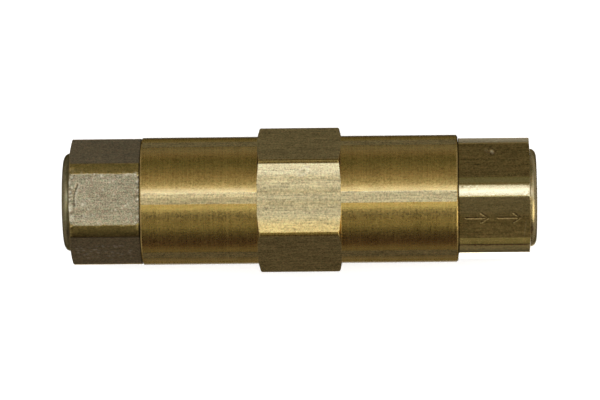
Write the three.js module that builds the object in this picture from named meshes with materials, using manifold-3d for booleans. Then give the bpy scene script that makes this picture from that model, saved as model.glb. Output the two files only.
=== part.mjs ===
// Inline needle valve, brass, 1/8-27 NPT female at both ends.
//
// The flow axis is X: inlet at -X, outlet at +X, origin at mid-length on the axis, +Z up, millimetres.
// The two end adapters are joined by a slotted core tube, which makes one rigid line body of fixed
// length. The adjusting barrel is trapped between the adapters and turns on their spigots. Its inner
// thread drives a follower nut that can't turn, because a cross pin ties it through the core's two
// slots to the needle carrier inside. One turn of the barrel slides the needle by one thread pitch.
//
// Screw threads are held here as plain cylinders at about their pitch diameter.

import * as THREE from "three";
import { mergeVertices } from "three/addons/utils/BufferGeometryUtils.js";
import Module from "manifold-3d";

const wasm = await Module();
wasm.setup();

// ---------------------------------------------------------------- driving dimensions, mm

const INCH = 25.4;

// adjusting barrel, turned from 5/8 in hexagon bar
const BARREL_AF = 0.625 * INCH; // across the bar's flats
const BARREL_HEX_R = 9.01; // corners of the wrench hexagon, turned
const BARREL_R = 7.97; // turned sleeve, just over half the bar's across-flats
const BARREL_HALF = 19.7;
const BARREL_HEX_HALF = 5.2;
const BARREL_BORE_R = 6.5; // bearing and sealing bore at each end
const BARREL_BORE_FROM = 11.6;
const BARREL_THREAD_R = 6.2; // M13 x 1 inner thread, at its pitch line
const WASHER_RECESS_R = 7.15;
const WASHER_RECESS_FROM = 19.15;

// end adapters, turned from 9/16 in hexagon bar; both are the same part
const ADAPTER_AF = 0.5625 * INCH;
const ADAPTER_HEX_R = 7.89;
const ADAPTER_FACE = 19.85; // inner shoulder, which the thrust washer runs on
const ADAPTER_HEX_END = 28.76;
const INLET_CHAMFER = 0.32; // how far the hexagon's corners are turned back at the port end
const OUTLET_CHAMFER = 0.14;
const ADAPTER_END = 29.55; // face of the round boss
const BOSS_R = 6.1;
const BOSS_EDGE = 0.6;
const PORT_MOUTH_R = 5.15;
const PORT_MINOR_R = 4.37; // 1/8-27 NPT, minor radius at the face
const PORT_TAPER = 1 / 32; // on the radius
const PORT_BOTTOM = 21.0;
const FLOW_R = 2.3;
const SPIGOT_R = 6.45;
const SPIGOT_FROM = 11.9;
const GROOVE_R = 5.42;
const GROOVE_FROM = 17.0;
const GROOVE_TO = 19.2;
const CORE_SOCKET_R = 4.45; // M9 x 0.75, at its pitch line
const CORE_SOCKET_TO = 16.6;
const OUTLET_TURN = -35.2; // degrees about X from flat-up, where the adapter came to rest when screwed home
const INLET_TURN = 0.4;

// core tube
const CORE_R = 4.75;
const CORE_END_R = 4.4;
const CORE_BORE_R = 3.2;
const CORE_INLET_END = -16.1;
const CORE_OUTLET_END = 14.6;
const CORE_SHOULDER = 11.85;

// needle train, drawn shut: every X here is for the closed valve
const TRAVEL = 3.6; // needle lift from shut to fully open
const PIN_X = 2.1;
const PIN_R = 0.98;
const PIN_HALF = 5.95;
const FOLLOWER_HALF = 3.0;
const FOLLOWER_R = 6.1;
const FOLLOWER_BORE_R = 4.85;
const CARRIER_FROM = -1.9;
const CARRIER_TO = 6.1;
const CARRIER_R = 3.12;
const CARRIER_FLATS = 5.0; // across its four milled flow flats
const NUT_AF = 5.0;
const NUT_FROM = 6.15;
const NUT_TO = 8.1;
const NEEDLE_R = 1.5;
const NEEDLE_THREAD_R = 1.25; // M3 x 0.5, at its pitch line
const NEEDLE_TIP_R = 0.3;
const NEEDLE_SLOPE = Math.tan((12 * Math.PI) / 180);

// needle guide, seat and its seal
const GUIDE_FROM = 8.35;
const GUIDE_TO = 9.75;
const SEAT_FROM = 14.63;
const SEAT_TO = 16.57;
const SEAT_R = 4.05;
const SEAT_EDGE_X = 15.2; // where the needle's cone closes on the orifice
const ORIFICE_R = 1.2;

// anti-backlash spring
const WIRE_R = 0.25;
const SPRING_R = 2.72; // mean radius of the coil
const SPRING_FROM = -16.12;
const SPRING_TO = -1.96;
const SPRING_TURNS = 7.6; // active turns between the two closed end turns

// facets round a circle
const BIG = 36;
const MID = 30;
const SMALL = 20;

// ---------------------------------------------------------------- helpers

function toSolid(geometry) {
  const g = geometry.index ? geometry.toNonIndexed() : geometry.clone();
  g.deleteAttribute("normal");
  g.deleteAttribute("uv");
  const merged = mergeVertices(g, 1e-4);
  return new wasm.Manifold(
    new wasm.Mesh({
      numProp: 3,
      vertProperties: new Float32Array(merged.attributes.position.array),
      triVerts: new Uint32Array(merged.index.array),
    }),
  );
}

function toGeometry(manifold) {
  const m = manifold.getMesh();
  const g = new THREE.BufferGeometry();
  g.setAttribute(
    "position",
    new THREE.BufferAttribute(new Float32Array(m.vertProperties), 3),
  );
  g.setIndex(new THREE.BufferAttribute(new Uint32Array(m.triVerts), 1));
  g.computeVertexNormals();
  return g;
}

// A turned piece about X from a profile of [x, r] points. A profile off the axis is closed on itself;
// one that starts and ends at r = 0 closes on the axis.
function turned(profile, facets) {
  let points = profile.map(([x, r]) => new THREE.Vector2(r, x));
  const onAxis =
    profile[0][1] === 0 && profile[profile.length - 1][1] === 0;
  if (THREE.ShapeUtils.area(points) < 0) points.reverse();
  if (!onAxis) points.push(points[0].clone());
  return new THREE.LatheGeometry(points, facets).rotateZ(-Math.PI / 2);
}

// A hexagonal (or other) bar along X, flats square to +Z and -Z.
function bar(acrossFlats, x0, x1, sides = 6) {
  const r = acrossFlats / 2 / Math.cos(Math.PI / sides);
  return new THREE.CylinderGeometry(r, r, x1 - x0, sides)
    .rotateZ(-Math.PI / 2)
    .rotateX(Math.PI / sides)
    .translate((x0 + x1) / 2, 0, 0);
}

// A round rod or drill along Y through x, z.
function crossRod(radius, x, half, facets) {
  return new THREE.CylinderGeometry(radius, radius, 2 * half, facets).translate(
    x,
    0,
    0,
  );
}

// A slot cutter along Y with round ends, from centre x0 to centre x1.
function slotCutter(radius, x0, x1, half) {
  const s = new THREE.Shape();
  s.moveTo(x0, -radius);
  s.lineTo(x1, -radius);
  s.absarc(x1, 0, radius, -Math.PI / 2, Math.PI / 2, false);
  s.lineTo(x0, radius);
  s.absarc(x0, 0, radius, Math.PI / 2, (3 * Math.PI) / 2, false);
  return new THREE.ExtrudeGeometry(s, {
    depth: 2 * half,
    bevelEnabled: false,
    curveSegments: 8,
  })
    .translate(0, 0, -half)
    .rotateX(Math.PI / 2);
}

// A ring section with a rounded, slightly flattened cross-section, as a seal squeezed in its groove.
function sealProfile(xMid, rMid, halfX, halfR, points = 8) {
  const p = [];
  for (let i = 0; i < points; i++) {
    const a = ((i + 0.5) * 2 * Math.PI) / points;
    p.push([
      xMid + halfX * Math.sign(Math.cos(a)) * Math.abs(Math.cos(a)) ** 0.8,
      rMid + halfR * Math.sign(Math.sin(a)) * Math.abs(Math.sin(a)) ** 0.8,
    ]);
  }
  return p;
}

// ---------------------------------------------------------------- materials

const brass = new THREE.MeshStandardMaterial({
  color: 0xb8964a,
  metalness: 1,
  roughness: 0.35,
});
const brassDull = new THREE.MeshStandardMaterial({
  color: 0xa9925c,
  metalness: 1,
  roughness: 0.45,
});
const bronze = new THREE.MeshStandardMaterial({
  color: 0xa8703a,
  metalness: 1,
  roughness: 0.4,
});
const steel = new THREE.MeshStandardMaterial({
  color: 0xb9bcc0,
  metalness: 1,
  roughness: 0.25,
});
const springSteel = new THREE.MeshStandardMaterial({
  color: 0x9c9ea2,
  metalness: 1,
  roughness: 0.35,
});
const rubber = new THREE.MeshStandardMaterial({
  color: 0x161616,
  metalness: 0,
  roughness: 0.6,
});
const ptfe = new THREE.MeshStandardMaterial({
  color: 0xece9e2,
  metalness: 0,
  roughness: 0.5,
});

const valve = new THREE.Group();
const lineBody = new THREE.Group();
const barrelBody = new THREE.Group();
const needleBody = new THREE.Group();
valve.add(lineBody, barrelBody, needleBody);

function add(group, name, geometry, material) {
  const mesh = new THREE.Mesh(geometry, material);
  mesh.name = name;
  group.add(mesh);
  return mesh;
}

// ---------------------------------------------------------------- adjusting barrel

{
  const shape = turned(
    [
      [-BARREL_HALF, WASHER_RECESS_R],
      [-BARREL_HALF, BARREL_R - 0.2],
      [-BARREL_HALF + 0.2, BARREL_R],
      [-BARREL_HEX_HALF, BARREL_R],
      [-BARREL_HEX_HALF, BARREL_R + 0.1],
      [-BARREL_HEX_HALF + 0.26, BARREL_HEX_R],
      [BARREL_HEX_HALF - 0.26, BARREL_HEX_R],
      [BARREL_HEX_HALF, BARREL_R + 0.1],
      [BARREL_HEX_HALF, BARREL_R],
      [BARREL_HALF - 0.2, BARREL_R],
      [BARREL_HALF, BARREL_R - 0.2],
      [BARREL_HALF, WASHER_RECESS_R],
      [WASHER_RECESS_FROM, WASHER_RECESS_R],
      [WASHER_RECESS_FROM, BARREL_BORE_R],
      [BARREL_BORE_FROM, BARREL_BORE_R],
      [BARREL_BORE_FROM - 0.3, BARREL_THREAD_R],
      [-BARREL_BORE_FROM + 0.3, BARREL_THREAD_R],
      [-BARREL_BORE_FROM, BARREL_BORE_R],
      [-WASHER_RECESS_FROM, BARREL_BORE_R],
      [-WASHER_RECESS_FROM, WASHER_RECESS_R],
    ],
    BIG,
  );
  const hexagon = bar(BARREL_AF, -BARREL_HALF - 1, BARREL_HALF + 1);
  add(
    barrelBody,
    "adjusting_barrel",
    toGeometry(toSolid(shape).intersect(toSolid(hexagon))),
    brass,
  );
}

// ---------------------------------------------------------------- end adapters

function adapter(side, chamfer) {
  const portR = (u) => PORT_MINOR_R - (ADAPTER_END - u) * PORT_TAPER;
  const b = BOSS_EDGE;
  const outline = [
    [SPIGOT_FROM, CORE_SOCKET_R],
    [SPIGOT_FROM, SPIGOT_R - 0.25],
    [SPIGOT_FROM + 0.25, SPIGOT_R],
    [GROOVE_FROM, SPIGOT_R],
    [GROOVE_FROM, GROOVE_R],
    [GROOVE_TO, GROOVE_R],
    [GROOVE_TO, SPIGOT_R],
    [ADAPTER_FACE, SPIGOT_R],
    [ADAPTER_FACE, ADAPTER_HEX_R - 0.2],
    [ADAPTER_FACE + 0.15, ADAPTER_HEX_R],
    [ADAPTER_HEX_END - chamfer, ADAPTER_HEX_R],
    [ADAPTER_HEX_END, BOSS_R],
    [ADAPTER_END - b, BOSS_R],
    [ADAPTER_END - b * 0.29, BOSS_R - b * 0.29],
    [ADAPTER_END, BOSS_R - b],
    [ADAPTER_END, PORT_MOUTH_R],
    [ADAPTER_END - 0.75, portR(ADAPTER_END - 0.75)],
    [PORT_BOTTOM, portR(PORT_BOTTOM)],
    [PORT_BOTTOM - 1.1, FLOW_R],
    [CORE_SOCKET_TO, FLOW_R],
    [CORE_SOCKET_TO, CORE_SOCKET_R],
  ].map(([u, r]) => [side * u, r]);
  const hexagon = bar(ADAPTER_AF, -ADAPTER_END - 1, ADAPTER_END + 1);
  return toGeometry(
    toSolid(turned(outline, BIG)).intersect(toSolid(hexagon)),
  );
}

add(lineBody, "inlet_adapter", adapter(-1, INLET_CHAMFER), brassDull).rotation.x =
  THREE.MathUtils.degToRad(INLET_TURN);
add(lineBody, "outlet_adapter", adapter(1, OUTLET_CHAMFER), brass).rotation.x =
  THREE.MathUtils.degToRad(OUTLET_TURN);

// ---------------------------------------------------------------- barrel seals, back-up rings and thrust washers

for (const [end, side] of [
  ["inlet", -1],
  ["outlet", 1],
]) {
  add(
    lineBody,
    end + "_o_ring",
    turned(sealProfile(side * 17.7, 5.96, 0.58, 0.5), BIG),
    rubber,
  );
  add(
    lineBody,
    end + "_backup_ring",
    turned(
      [
        [side * 18.33, 5.49],
        [side * 18.33, 6.44],
        [side * 19.14, 6.44],
        [side * 19.14, 5.49],
      ],
      BIG,
    ),
    ptfe,
  );
  add(
    lineBody,
    end + "_thrust_washer",
    turned(
      [
        [side * (WASHER_RECESS_FROM + 0.02), 6.55],
        [side * (WASHER_RECESS_FROM + 0.02), 7.08],
        [side * (ADAPTER_FACE - 0.02), 7.08],
        [side * (ADAPTER_FACE - 0.02), 6.55],
      ],
      BIG,
    ),
    ptfe,
  );
}

// ---------------------------------------------------------------- core tube, with a slot on +Y and one on -Y

{
  const tube = turned(
    [
      [CORE_INLET_END, CORE_BORE_R],
      [CORE_INLET_END, CORE_END_R - 0.2],
      [CORE_INLET_END + 0.2, CORE_END_R],
      [-CORE_SHOULDER, CORE_END_R],
      [-CORE_SHOULDER, CORE_R],
      [CORE_SHOULDER, CORE_R],
      [CORE_SHOULDER, CORE_END_R],
      [CORE_OUTLET_END - 0.2, CORE_END_R],
      [CORE_OUTLET_END, CORE_END_R - 0.2],
      [CORE_OUTLET_END, CORE_BORE_R],
    ],
    MID,
  );
  const slots = slotCutter(1.1, PIN_X - TRAVEL - 0.1, PIN_X + 0.1, 7);
  add(
    lineBody,
    "core_tube",
    toGeometry(toSolid(tube).subtract(toSolid(slots))),
    brass,
  );
}

// ---------------------------------------------------------------- needle guide, seat, seat seal, spring washer

{
  let guide = toSolid(
    turned(
      [
        [GUIDE_FROM, 1.56],
        [GUIDE_FROM, CORE_BORE_R - 0.04],
        [GUIDE_TO, CORE_BORE_R - 0.04],
        [GUIDE_TO, 1.56],
      ],
      MID,
    ),
  );
  for (let i = 0; i < 4; i++) {
    const a = (i + 0.5) * (Math.PI / 2);
    guide = guide.subtract(
      toSolid(
        new THREE.CylinderGeometry(0.55, 0.55, 4, 12)
          .rotateZ(-Math.PI / 2)
          .translate(
            (GUIDE_FROM + GUIDE_TO) / 2,
            2.36 * Math.cos(a),
            2.36 * Math.sin(a),
          ),
      ),
    );
  }
  add(lineBody, "needle_guide", toGeometry(guide), bronze);
}

add(
  lineBody,
  "seat_insert",
  turned(
    [
      [SEAT_FROM, 1.9],
      [SEAT_FROM, SEAT_R - 0.15],
      [SEAT_FROM + 0.15, SEAT_R],
      [SEAT_TO, SEAT_R],
      [SEAT_TO, 3.85],
      [SEAT_TO - 0.8, 3.85],
      [SEAT_TO - 0.8, 2.75],
      [SEAT_TO, 2.75],
      [SEAT_TO, ORIFICE_R],
      [SEAT_EDGE_X, ORIFICE_R],
    ],
    MID,
  ),
  steel,
);
add(
  lineBody,
  "seat_o_ring",
  turned(sealProfile(SEAT_TO - 0.39, 3.3, 0.38, 0.5, 6), MID),
  rubber,
);
add(
  lineBody,
  "spring_seat_washer",
  turned(
    [
      [-16.57, 2.36],
      [-16.57, 4.0],
      [-16.15, 4.0],
      [-16.15, 2.36],
    ],
    MID,
  ),
  steel,
);

// ---------------------------------------------------------------- anti-backlash spring

class CoilCurve extends THREE.Curve {
  constructor() {
    super();
    this.turns = SPRING_TURNS + 2;
    this.x0 = SPRING_FROM + WIRE_R + 0.02;
    this.x1 = SPRING_TO - WIRE_R - 0.02;
    this.endPitch = 2 * WIRE_R + 0.04; // the end turns lie almost on the next one
  }
  getPoint(t, target = new THREE.Vector3()) {
    const n = t * this.turns;
    const active = this.x1 - this.x0 - 2 * this.endPitch;
    const x =
      n < 1
        ? this.x0 + n * this.endPitch
        : n > this.turns - 1
          ? this.x1 - (this.turns - n) * this.endPitch
          : this.x0 +
            this.endPitch +
            (active * (n - 1)) / (this.turns - 2);
    const a = n * 2 * Math.PI;
    return target.set(x, SPRING_R * Math.cos(a), SPRING_R * Math.sin(a));
  }
}

{
  const section = new THREE.Shape();
  section.absarc(0, 0, WIRE_R, 0, 2 * Math.PI, false);
  const coil = new CoilCurve();
  add(
    lineBody,
    "anti_backlash_spring",
    new THREE.ExtrudeGeometry(section, {
      steps: Math.round(coil.turns * 11),
      bevelEnabled: false,
      curveSegments: 3,
      extrudePath: coil,
    }),
    springSteel,
  );
}

// ---------------------------------------------------------------- needle train: moves along X as one

{
  const ring = turned(
    [
      [PIN_X - FOLLOWER_HALF, FOLLOWER_BORE_R],
      [PIN_X - FOLLOWER_HALF, FOLLOWER_R - 0.3],
      [PIN_X - FOLLOWER_HALF + 0.3, FOLLOWER_R],
      [PIN_X + FOLLOWER_HALF - 0.3, FOLLOWER_R],
      [PIN_X + FOLLOWER_HALF, FOLLOWER_R - 0.3],
      [PIN_X + FOLLOWER_HALF, FOLLOWER_BORE_R],
    ],
    BIG,
  );
  add(
    needleBody,
    "follower_nut",
    toGeometry(
      toSolid(ring).subtract(toSolid(crossRod(PIN_R + 0.06, PIN_X, 9, SMALL))),
    ),
    bronze,
  );
}

{
  // four milled flats let the flow pass between the carrier and the core's bore
  const round = turned(
    [
      [CARRIER_FROM, 0],
      [CARRIER_FROM, CARRIER_R - 0.2],
      [CARRIER_FROM + 0.2, CARRIER_R],
      [CARRIER_TO - 0.2, CARRIER_R],
      [CARRIER_TO, CARRIER_R - 0.2],
      [CARRIER_TO, NEEDLE_THREAD_R + 0.05],
      [CARRIER_TO - 2.8, NEEDLE_THREAD_R + 0.05],
      [CARRIER_TO - 3.2, 0],
    ],
    MID,
  );
  const square = bar(CARRIER_FLATS, CARRIER_FROM - 1, CARRIER_TO + 1, 4);
  add(
    needleBody,
    "needle_carrier",
    toGeometry(
      toSolid(round)
        .intersect(toSolid(square.rotateX(Math.PI / 4)))
        .subtract(toSolid(crossRod(PIN_R + 0.03, PIN_X, 9, SMALL))),
    ),
    brass,
  );
}

add(
  needleBody,
  "drive_pin",
  turned(
    [
      [-PIN_HALF, 0],
      [-PIN_HALF, PIN_R - 0.2],
      [-PIN_HALF + 0.2, PIN_R],
      [PIN_HALF - 0.2, PIN_R],
      [PIN_HALF, PIN_R - 0.2],
      [PIN_HALF, 0],
    ],
    SMALL,
  )
    .rotateZ(Math.PI / 2)
    .translate(PIN_X, 0, 0),
  steel,
);

{
  const coneAt = (r) => SEAT_EDGE_X + (ORIFICE_R - 0.08 - r) / NEEDLE_SLOPE;
  add(
    needleBody,
    "needle",
    turned(
      [
        [CARRIER_TO - 2.7, 0],
        [CARRIER_TO - 2.7, NEEDLE_THREAD_R - 0.2],
        [CARRIER_TO - 2.5, NEEDLE_THREAD_R],
        [NUT_TO + 0.1, NEEDLE_THREAD_R],
        [NUT_TO + 0.1, NEEDLE_R - 0.05],
        [NUT_TO + 0.15, NEEDLE_R],
        [coneAt(NEEDLE_R), NEEDLE_R],
        [coneAt(NEEDLE_TIP_R), NEEDLE_TIP_R],
        [coneAt(NEEDLE_TIP_R) + 0.2, 0],
      ],
      SMALL,
    ),
    steel,
  );
}

{
  const hexagon = bar(NUT_AF, NUT_FROM, NUT_TO);
  const chamfered = turned(
    [
      [NUT_FROM, NEEDLE_THREAD_R + 0.05],
      [NUT_FROM, NUT_AF / 2],
      [NUT_FROM + 0.22, NUT_AF / 2 + 0.4],
      [NUT_TO - 0.22, NUT_AF / 2 + 0.4],
      [NUT_TO, NUT_AF / 2],
      [NUT_TO, NEEDLE_THREAD_R + 0.05],
    ],
    SMALL,
  );
  add(
    needleBody,
    "needle_lock_nut",
    toGeometry(toSolid(chamfered).intersect(toSolid(hexagon))),
    steel,
  );
}

export default valve;
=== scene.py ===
import math

import bmesh
import bpy
import numpy as np
from mathutils import Matrix, Vector


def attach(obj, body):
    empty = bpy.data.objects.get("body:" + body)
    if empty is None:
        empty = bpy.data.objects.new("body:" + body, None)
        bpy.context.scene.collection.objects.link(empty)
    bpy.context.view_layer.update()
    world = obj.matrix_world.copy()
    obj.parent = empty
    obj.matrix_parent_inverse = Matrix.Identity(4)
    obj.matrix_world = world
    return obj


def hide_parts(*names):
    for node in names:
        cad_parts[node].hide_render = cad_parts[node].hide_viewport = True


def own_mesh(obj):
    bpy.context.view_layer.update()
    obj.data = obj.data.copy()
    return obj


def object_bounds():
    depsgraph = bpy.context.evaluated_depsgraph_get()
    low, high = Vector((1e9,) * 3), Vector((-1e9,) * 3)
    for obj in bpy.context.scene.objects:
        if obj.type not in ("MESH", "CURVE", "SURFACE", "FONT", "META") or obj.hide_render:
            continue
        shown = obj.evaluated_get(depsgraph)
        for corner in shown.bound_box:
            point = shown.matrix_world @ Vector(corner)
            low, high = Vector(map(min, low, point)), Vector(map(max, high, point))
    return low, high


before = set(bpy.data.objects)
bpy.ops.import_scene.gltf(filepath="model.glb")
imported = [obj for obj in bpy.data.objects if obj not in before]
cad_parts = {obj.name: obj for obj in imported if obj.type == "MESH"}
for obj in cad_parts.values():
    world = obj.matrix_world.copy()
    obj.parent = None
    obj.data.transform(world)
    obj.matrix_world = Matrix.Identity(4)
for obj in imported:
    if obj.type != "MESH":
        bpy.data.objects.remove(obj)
cad_box = [list(v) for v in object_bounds()]

MM = 0.001
RAD = math.pi / 180

# ------------------------------------------------------------------ driving sizes, the frame's own

BARREL_AF = 15.875
BARREL_R = 7.963
BARREL_HEX_R = 9.01
BARREL_HALF = 19.755
HEX_HALF = 5.2
ADAPTER_AF = 14.2875
ADAPTER_HEX_R = 7.86
ADAPTER_FACE = 19.80
ADAPTER_HEX_END = 28.76
ADAPTER_END = 29.55
BOSS_R = 6.1
INLET_FLAT = -0.4  # where each adapter's first flat points, degrees from +Z towards +Y
OUTLET_FLAT = 34.9
NPT_PITCH = 25.4 / 27
PITCH = 1.0
PIN_X = 2.1

# ------------------------------------------------------------------ number helpers


def _lattice(i, j, k, seed):
    h = (i * 374761393 + j * 668265263 + k * 1440662683 + seed * 974634777) & 0xFFFFFFFF
    h = ((h ^ (h >> 13)) * 1274126177) & 0xFFFFFFFF
    h = h ^ (h >> 16)
    return (h & 0xFFFFFF) / float(0xFFFFFF) * 2 - 1


def noise(x, y, z, seed=0):
    """Smooth value noise from -1 to 1, one cell a unit, the same on every run."""
    x, y, z = np.broadcast_arrays(
        np.asarray(x, float), np.asarray(y, float), np.asarray(z, float)
    )
    i, j, k = (np.floor(a).astype(np.int64) for a in (x, y, z))
    u, v, w = (a - np.floor(a) for a in (x, y, z))
    u, v, w = (a * a * (3 - 2 * a) for a in (u, v, w))
    total = np.zeros(x.shape)
    for a in (0, 1):
        for b in (0, 1):
            for c in (0, 1):
                weight = (
                    (u if a else 1 - u) * (v if b else 1 - v) * (w if c else 1 - w)
                )
                total += weight * _lattice(i + a, j + b, k + c, seed)
    return total


def smin(a, b, k):
    """The smaller of a and b, with the corner where they cross rounded off."""
    h = np.maximum(k - np.abs(a - b), 0) / k
    return np.minimum(a, b) - h * h * k * 0.25


def smooth(e0, e1, x):
    t = np.clip((x - e0) / (e1 - e0), 0, 1)
    return t * t * (3 - 2 * t)


def fillet(points, n=4):
    """A profile of (x, r) or (x, r, radius) points with its corners rounded."""
    out, m = [], len(points)
    for i in range(m):
        p = np.array(points[i][:2], float)
        f = points[i][2] if len(points[i]) > 2 else 0
        if f <= 0:
            out.append(p)
            continue
        a = np.array(points[i - 1][:2], float) - p
        b = np.array(points[(i + 1) % m][:2], float) - p
        la, lb = np.linalg.norm(a), np.linalg.norm(b)
        a, b = a / la, b / lb
        half = math.acos(max(-1, min(1, float(a @ b)))) / 2
        t = min(f / math.tan(half), 0.48 * min(la, lb))
        f = t * math.tan(half)
        mid = (a + b) / np.linalg.norm(a + b)
        c = p + mid * f / math.sin(half)
        s, e = p + a * t - c, p + b * t - c
        a0, a1 = math.atan2(s[1], s[0]), math.atan2(e[1], e[0])
        d = (a1 - a0 + math.pi) % (2 * math.pi) - math.pi
        for q in range(n + 1):
            w = a0 + d * q / n
            out.append(c + f * np.array([math.cos(w), math.sin(w)]))
    return np.array(out)


def densify(profile, longest):
    """Adds points so that no step along the profile is longer than longest(x, r)."""
    out = [profile[0]]
    for a, b in zip(profile[:-1], profile[1:]):
        mid = (a + b) / 2
        n = max(1, math.ceil(np.linalg.norm(b - a) / longest(mid[0], mid[1])))
        out += [a + (b - a) * (q + 1) / n for q in range(n)]
    return np.array(out)


def angles(step, special=(), near=(0.25, 0.6, 1.1), window=()):
    """Column angles in degrees: even steps, closer together round the special ones and in windows."""
    base = list(np.arange(0, 360, step))
    extra = [s + d for s in special for d in (0, *near, *[-q for q in near])]
    for lo, hi, fine in window:
        extra += list(np.arange(lo, hi, fine))
    extra = np.mod(np.array(extra, float), 360)
    keep = [b for b in base if not len(extra) or np.min(np.abs(extra - b)) > 0.2]
    all_ = np.sort(np.concatenate([keep, extra]))
    out = [all_[0]]
    for a in all_[1:]:
        if a - out[-1] > 0.05:
            out.append(a)
    return np.array(out)


def from_flat(theta, turn, sides=6):
    """Degrees from the nearest flat's middle, and that flat's number."""
    span = 360 / sides
    rel = (theta - turn + span / 2) % span - span / 2
    which = np.round((theta - turn - rel) / span).astype(int) % sides
    return rel, which


def thread(x, theta, pitch):
    """0 in a thread's root to 1 on its crest, for a right-hand thread about +X."""
    u = x / pitch + theta / 360.0
    u = u - np.floor(u)
    tri = 1 - np.abs(2 * u - 1)
    return smooth(0.0, 1.0, np.clip((tri - 0.14) / 0.72, 0, 1)) * 0.35 + 0.65 * np.clip(
        (tri - 0.14) / 0.72, 0, 1
    )


def place(x, r, theta):
    t = theta * RAD
    return np.stack(np.broadcast_arrays(x, r * np.sin(t), r * np.cos(t)), axis=-1)


# ------------------------------------------------------------------ mesh helpers


class Build:
    def __init__(self):
        self.v, self.f, self.n, self.tags = [], [], 0, {}
        self.fm = []

    def add(self, p, tags=None):
        p = p.reshape(-1, 3)
        start = self.n
        self.v.append(p)
        for k in set(self.tags) | set(tags or {}):
            self.tags.setdefault(k, [np.zeros(self.n)])
            self.tags[k].append(
                np.broadcast_to(tags[k], (len(p),)).astype(float)
                if tags and k in tags
                else np.zeros(len(p))
            )
        self.n += len(p)
        return start

    def grid(self, p, wrap=True, close=False, tags=None, mat=0):
        """A sheet of quads from p[row, column]. mat is one slot number, or one for each quad."""
        rows, cols = p.shape[:2]
        flat_tags = {
            k: np.broadcast_to(t, (rows, cols)).reshape(-1)
            for k, t in (tags or {}).items()
        }
        idx = self.add(p, flat_tags) + np.arange(rows * cols).reshape(rows, cols)
        ri = np.arange(rows if close else rows - 1)
        ci = np.arange(cols if wrap else cols - 1)
        a = idx[ri][:, ci]
        b = idx[ri][:, (ci + 1) % cols]
        c = idx[(ri + 1) % rows][:, (ci + 1) % cols]
        d = idx[(ri + 1) % rows][:, ci]
        q = np.stack([a, b, c, d], -1)
        self.f += q.reshape(-1, 4).tolist()
        self.fm += np.broadcast_to(mat, (len(ri), len(ci))).reshape(-1).tolist()
        return idx

    def bridge(self, ring_a, ta, ring_b, tb, mat=0):
        """Triangles across a flat annulus between two rings with different numbers of points."""
        na, nb = len(ring_a), len(ring_b)
        i = j = 0
        while i < na or j < nb:
            next_a = ta[i + 1] if i + 1 < na else (ta[0] + 360 if i < na else 1e9)
            next_b = tb[j + 1] if j + 1 < nb else (tb[0] + 360 if j < nb else 1e9)
            if next_a <= next_b:
                self.f.append(
                    [int(ring_a[i % na]), int(ring_a[(i + 1) % na]), int(ring_b[j % nb])]
                )
                i += 1
            else:
                self.f.append(
                    [int(ring_a[i % na]), int(ring_b[(j + 1) % nb]), int(ring_b[j % nb])]
                )
                j += 1
            self.fm.append(mat)

    def cap(self, ring, centre, mat=0):
        """Closes a ring with a fan to one point."""
        c = self.add(np.array([centre], float))
        n = len(ring)
        for i in range(n):
            self.f.append([int(ring[i]), int(ring[(i + 1) % n]), c])
            self.fm.append(mat)


def area_normals(me):
    """Each vertex's normal, weighed by face area, so that flats stay flat beside fine edge breaks."""
    n = len(me.polygons)
    normal = np.zeros(n * 3)
    area = np.zeros(n)
    total = np.zeros(n, np.int32)
    me.polygons.foreach_get("normal", normal)
    me.polygons.foreach_get("area", area)
    me.polygons.foreach_get("loop_total", total)
    verts = np.zeros(len(me.loops), np.int32)
    me.loops.foreach_get("vertex_index", verts)
    w = np.repeat(normal.reshape(-1, 3) * area[:, None], total, axis=0)
    out = np.zeros((len(me.vertices), 3))
    for k in range(3):
        out[:, k] = np.bincount(verts, w[:, k], len(me.vertices))
    length = np.linalg.norm(out, axis=1, keepdims=True)
    return out / np.maximum(length, 1e-20)


def finish_mesh(name, build, materials, custom=True):
    me = bpy.data.meshes.new(name)
    me.from_pydata((np.concatenate(build.v) * MM).tolist(), [], build.f)
    me.validate()
    for m in materials:
        me.materials.append(m)
    if any(build.fm) and len(build.fm) == len(me.polygons):
        me.polygons.foreach_set("material_index", np.array(build.fm, np.int32))
    b = bmesh.new()
    b.from_mesh(me)
    bmesh.ops.recalc_face_normals(b, faces=b.faces)
    if b.calc_volume(signed=True) < 0:
        bmesh.ops.reverse_faces(b, faces=b.faces)
    b.to_mesh(me)
    b.free()
    for k, parts in build.tags.items():
        at = me.attributes.new(k, "FLOAT", "POINT")
        at.data.foreach_set("value", np.concatenate(parts).astype(np.float32))
    me.polygons.foreach_set("use_smooth", np.ones(len(me.polygons), bool))
    if custom:
        me.normals_split_custom_set_from_vertices(area_normals(me).tolist())
    me.update()
    o = bpy.data.objects.new(name, me)
    bpy.context.scene.collection.objects.link(o)
    return o


def put(o, node, body):
    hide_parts(node)
    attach(o, body)
    return o


def lathe(name, loop, cols, mats, n=4, radial=None, mat=0):
    """A turned ring with a closed profile. radial(x, r, theta) may change the radius."""
    prof = fillet(loop, n)
    th = np.linspace(0, 360, cols, endpoint=False)
    x, r, t = prof[:, :1], prof[:, 1:2], th[None, :]
    x, r, t = np.broadcast_arrays(x, r, t)
    if radial:
        r = radial(x, r, t)
    b = Build()
    b.grid(place(x, r, t), close=True, mat=mat)
    return finish_mesh(name, b, mats)


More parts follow.
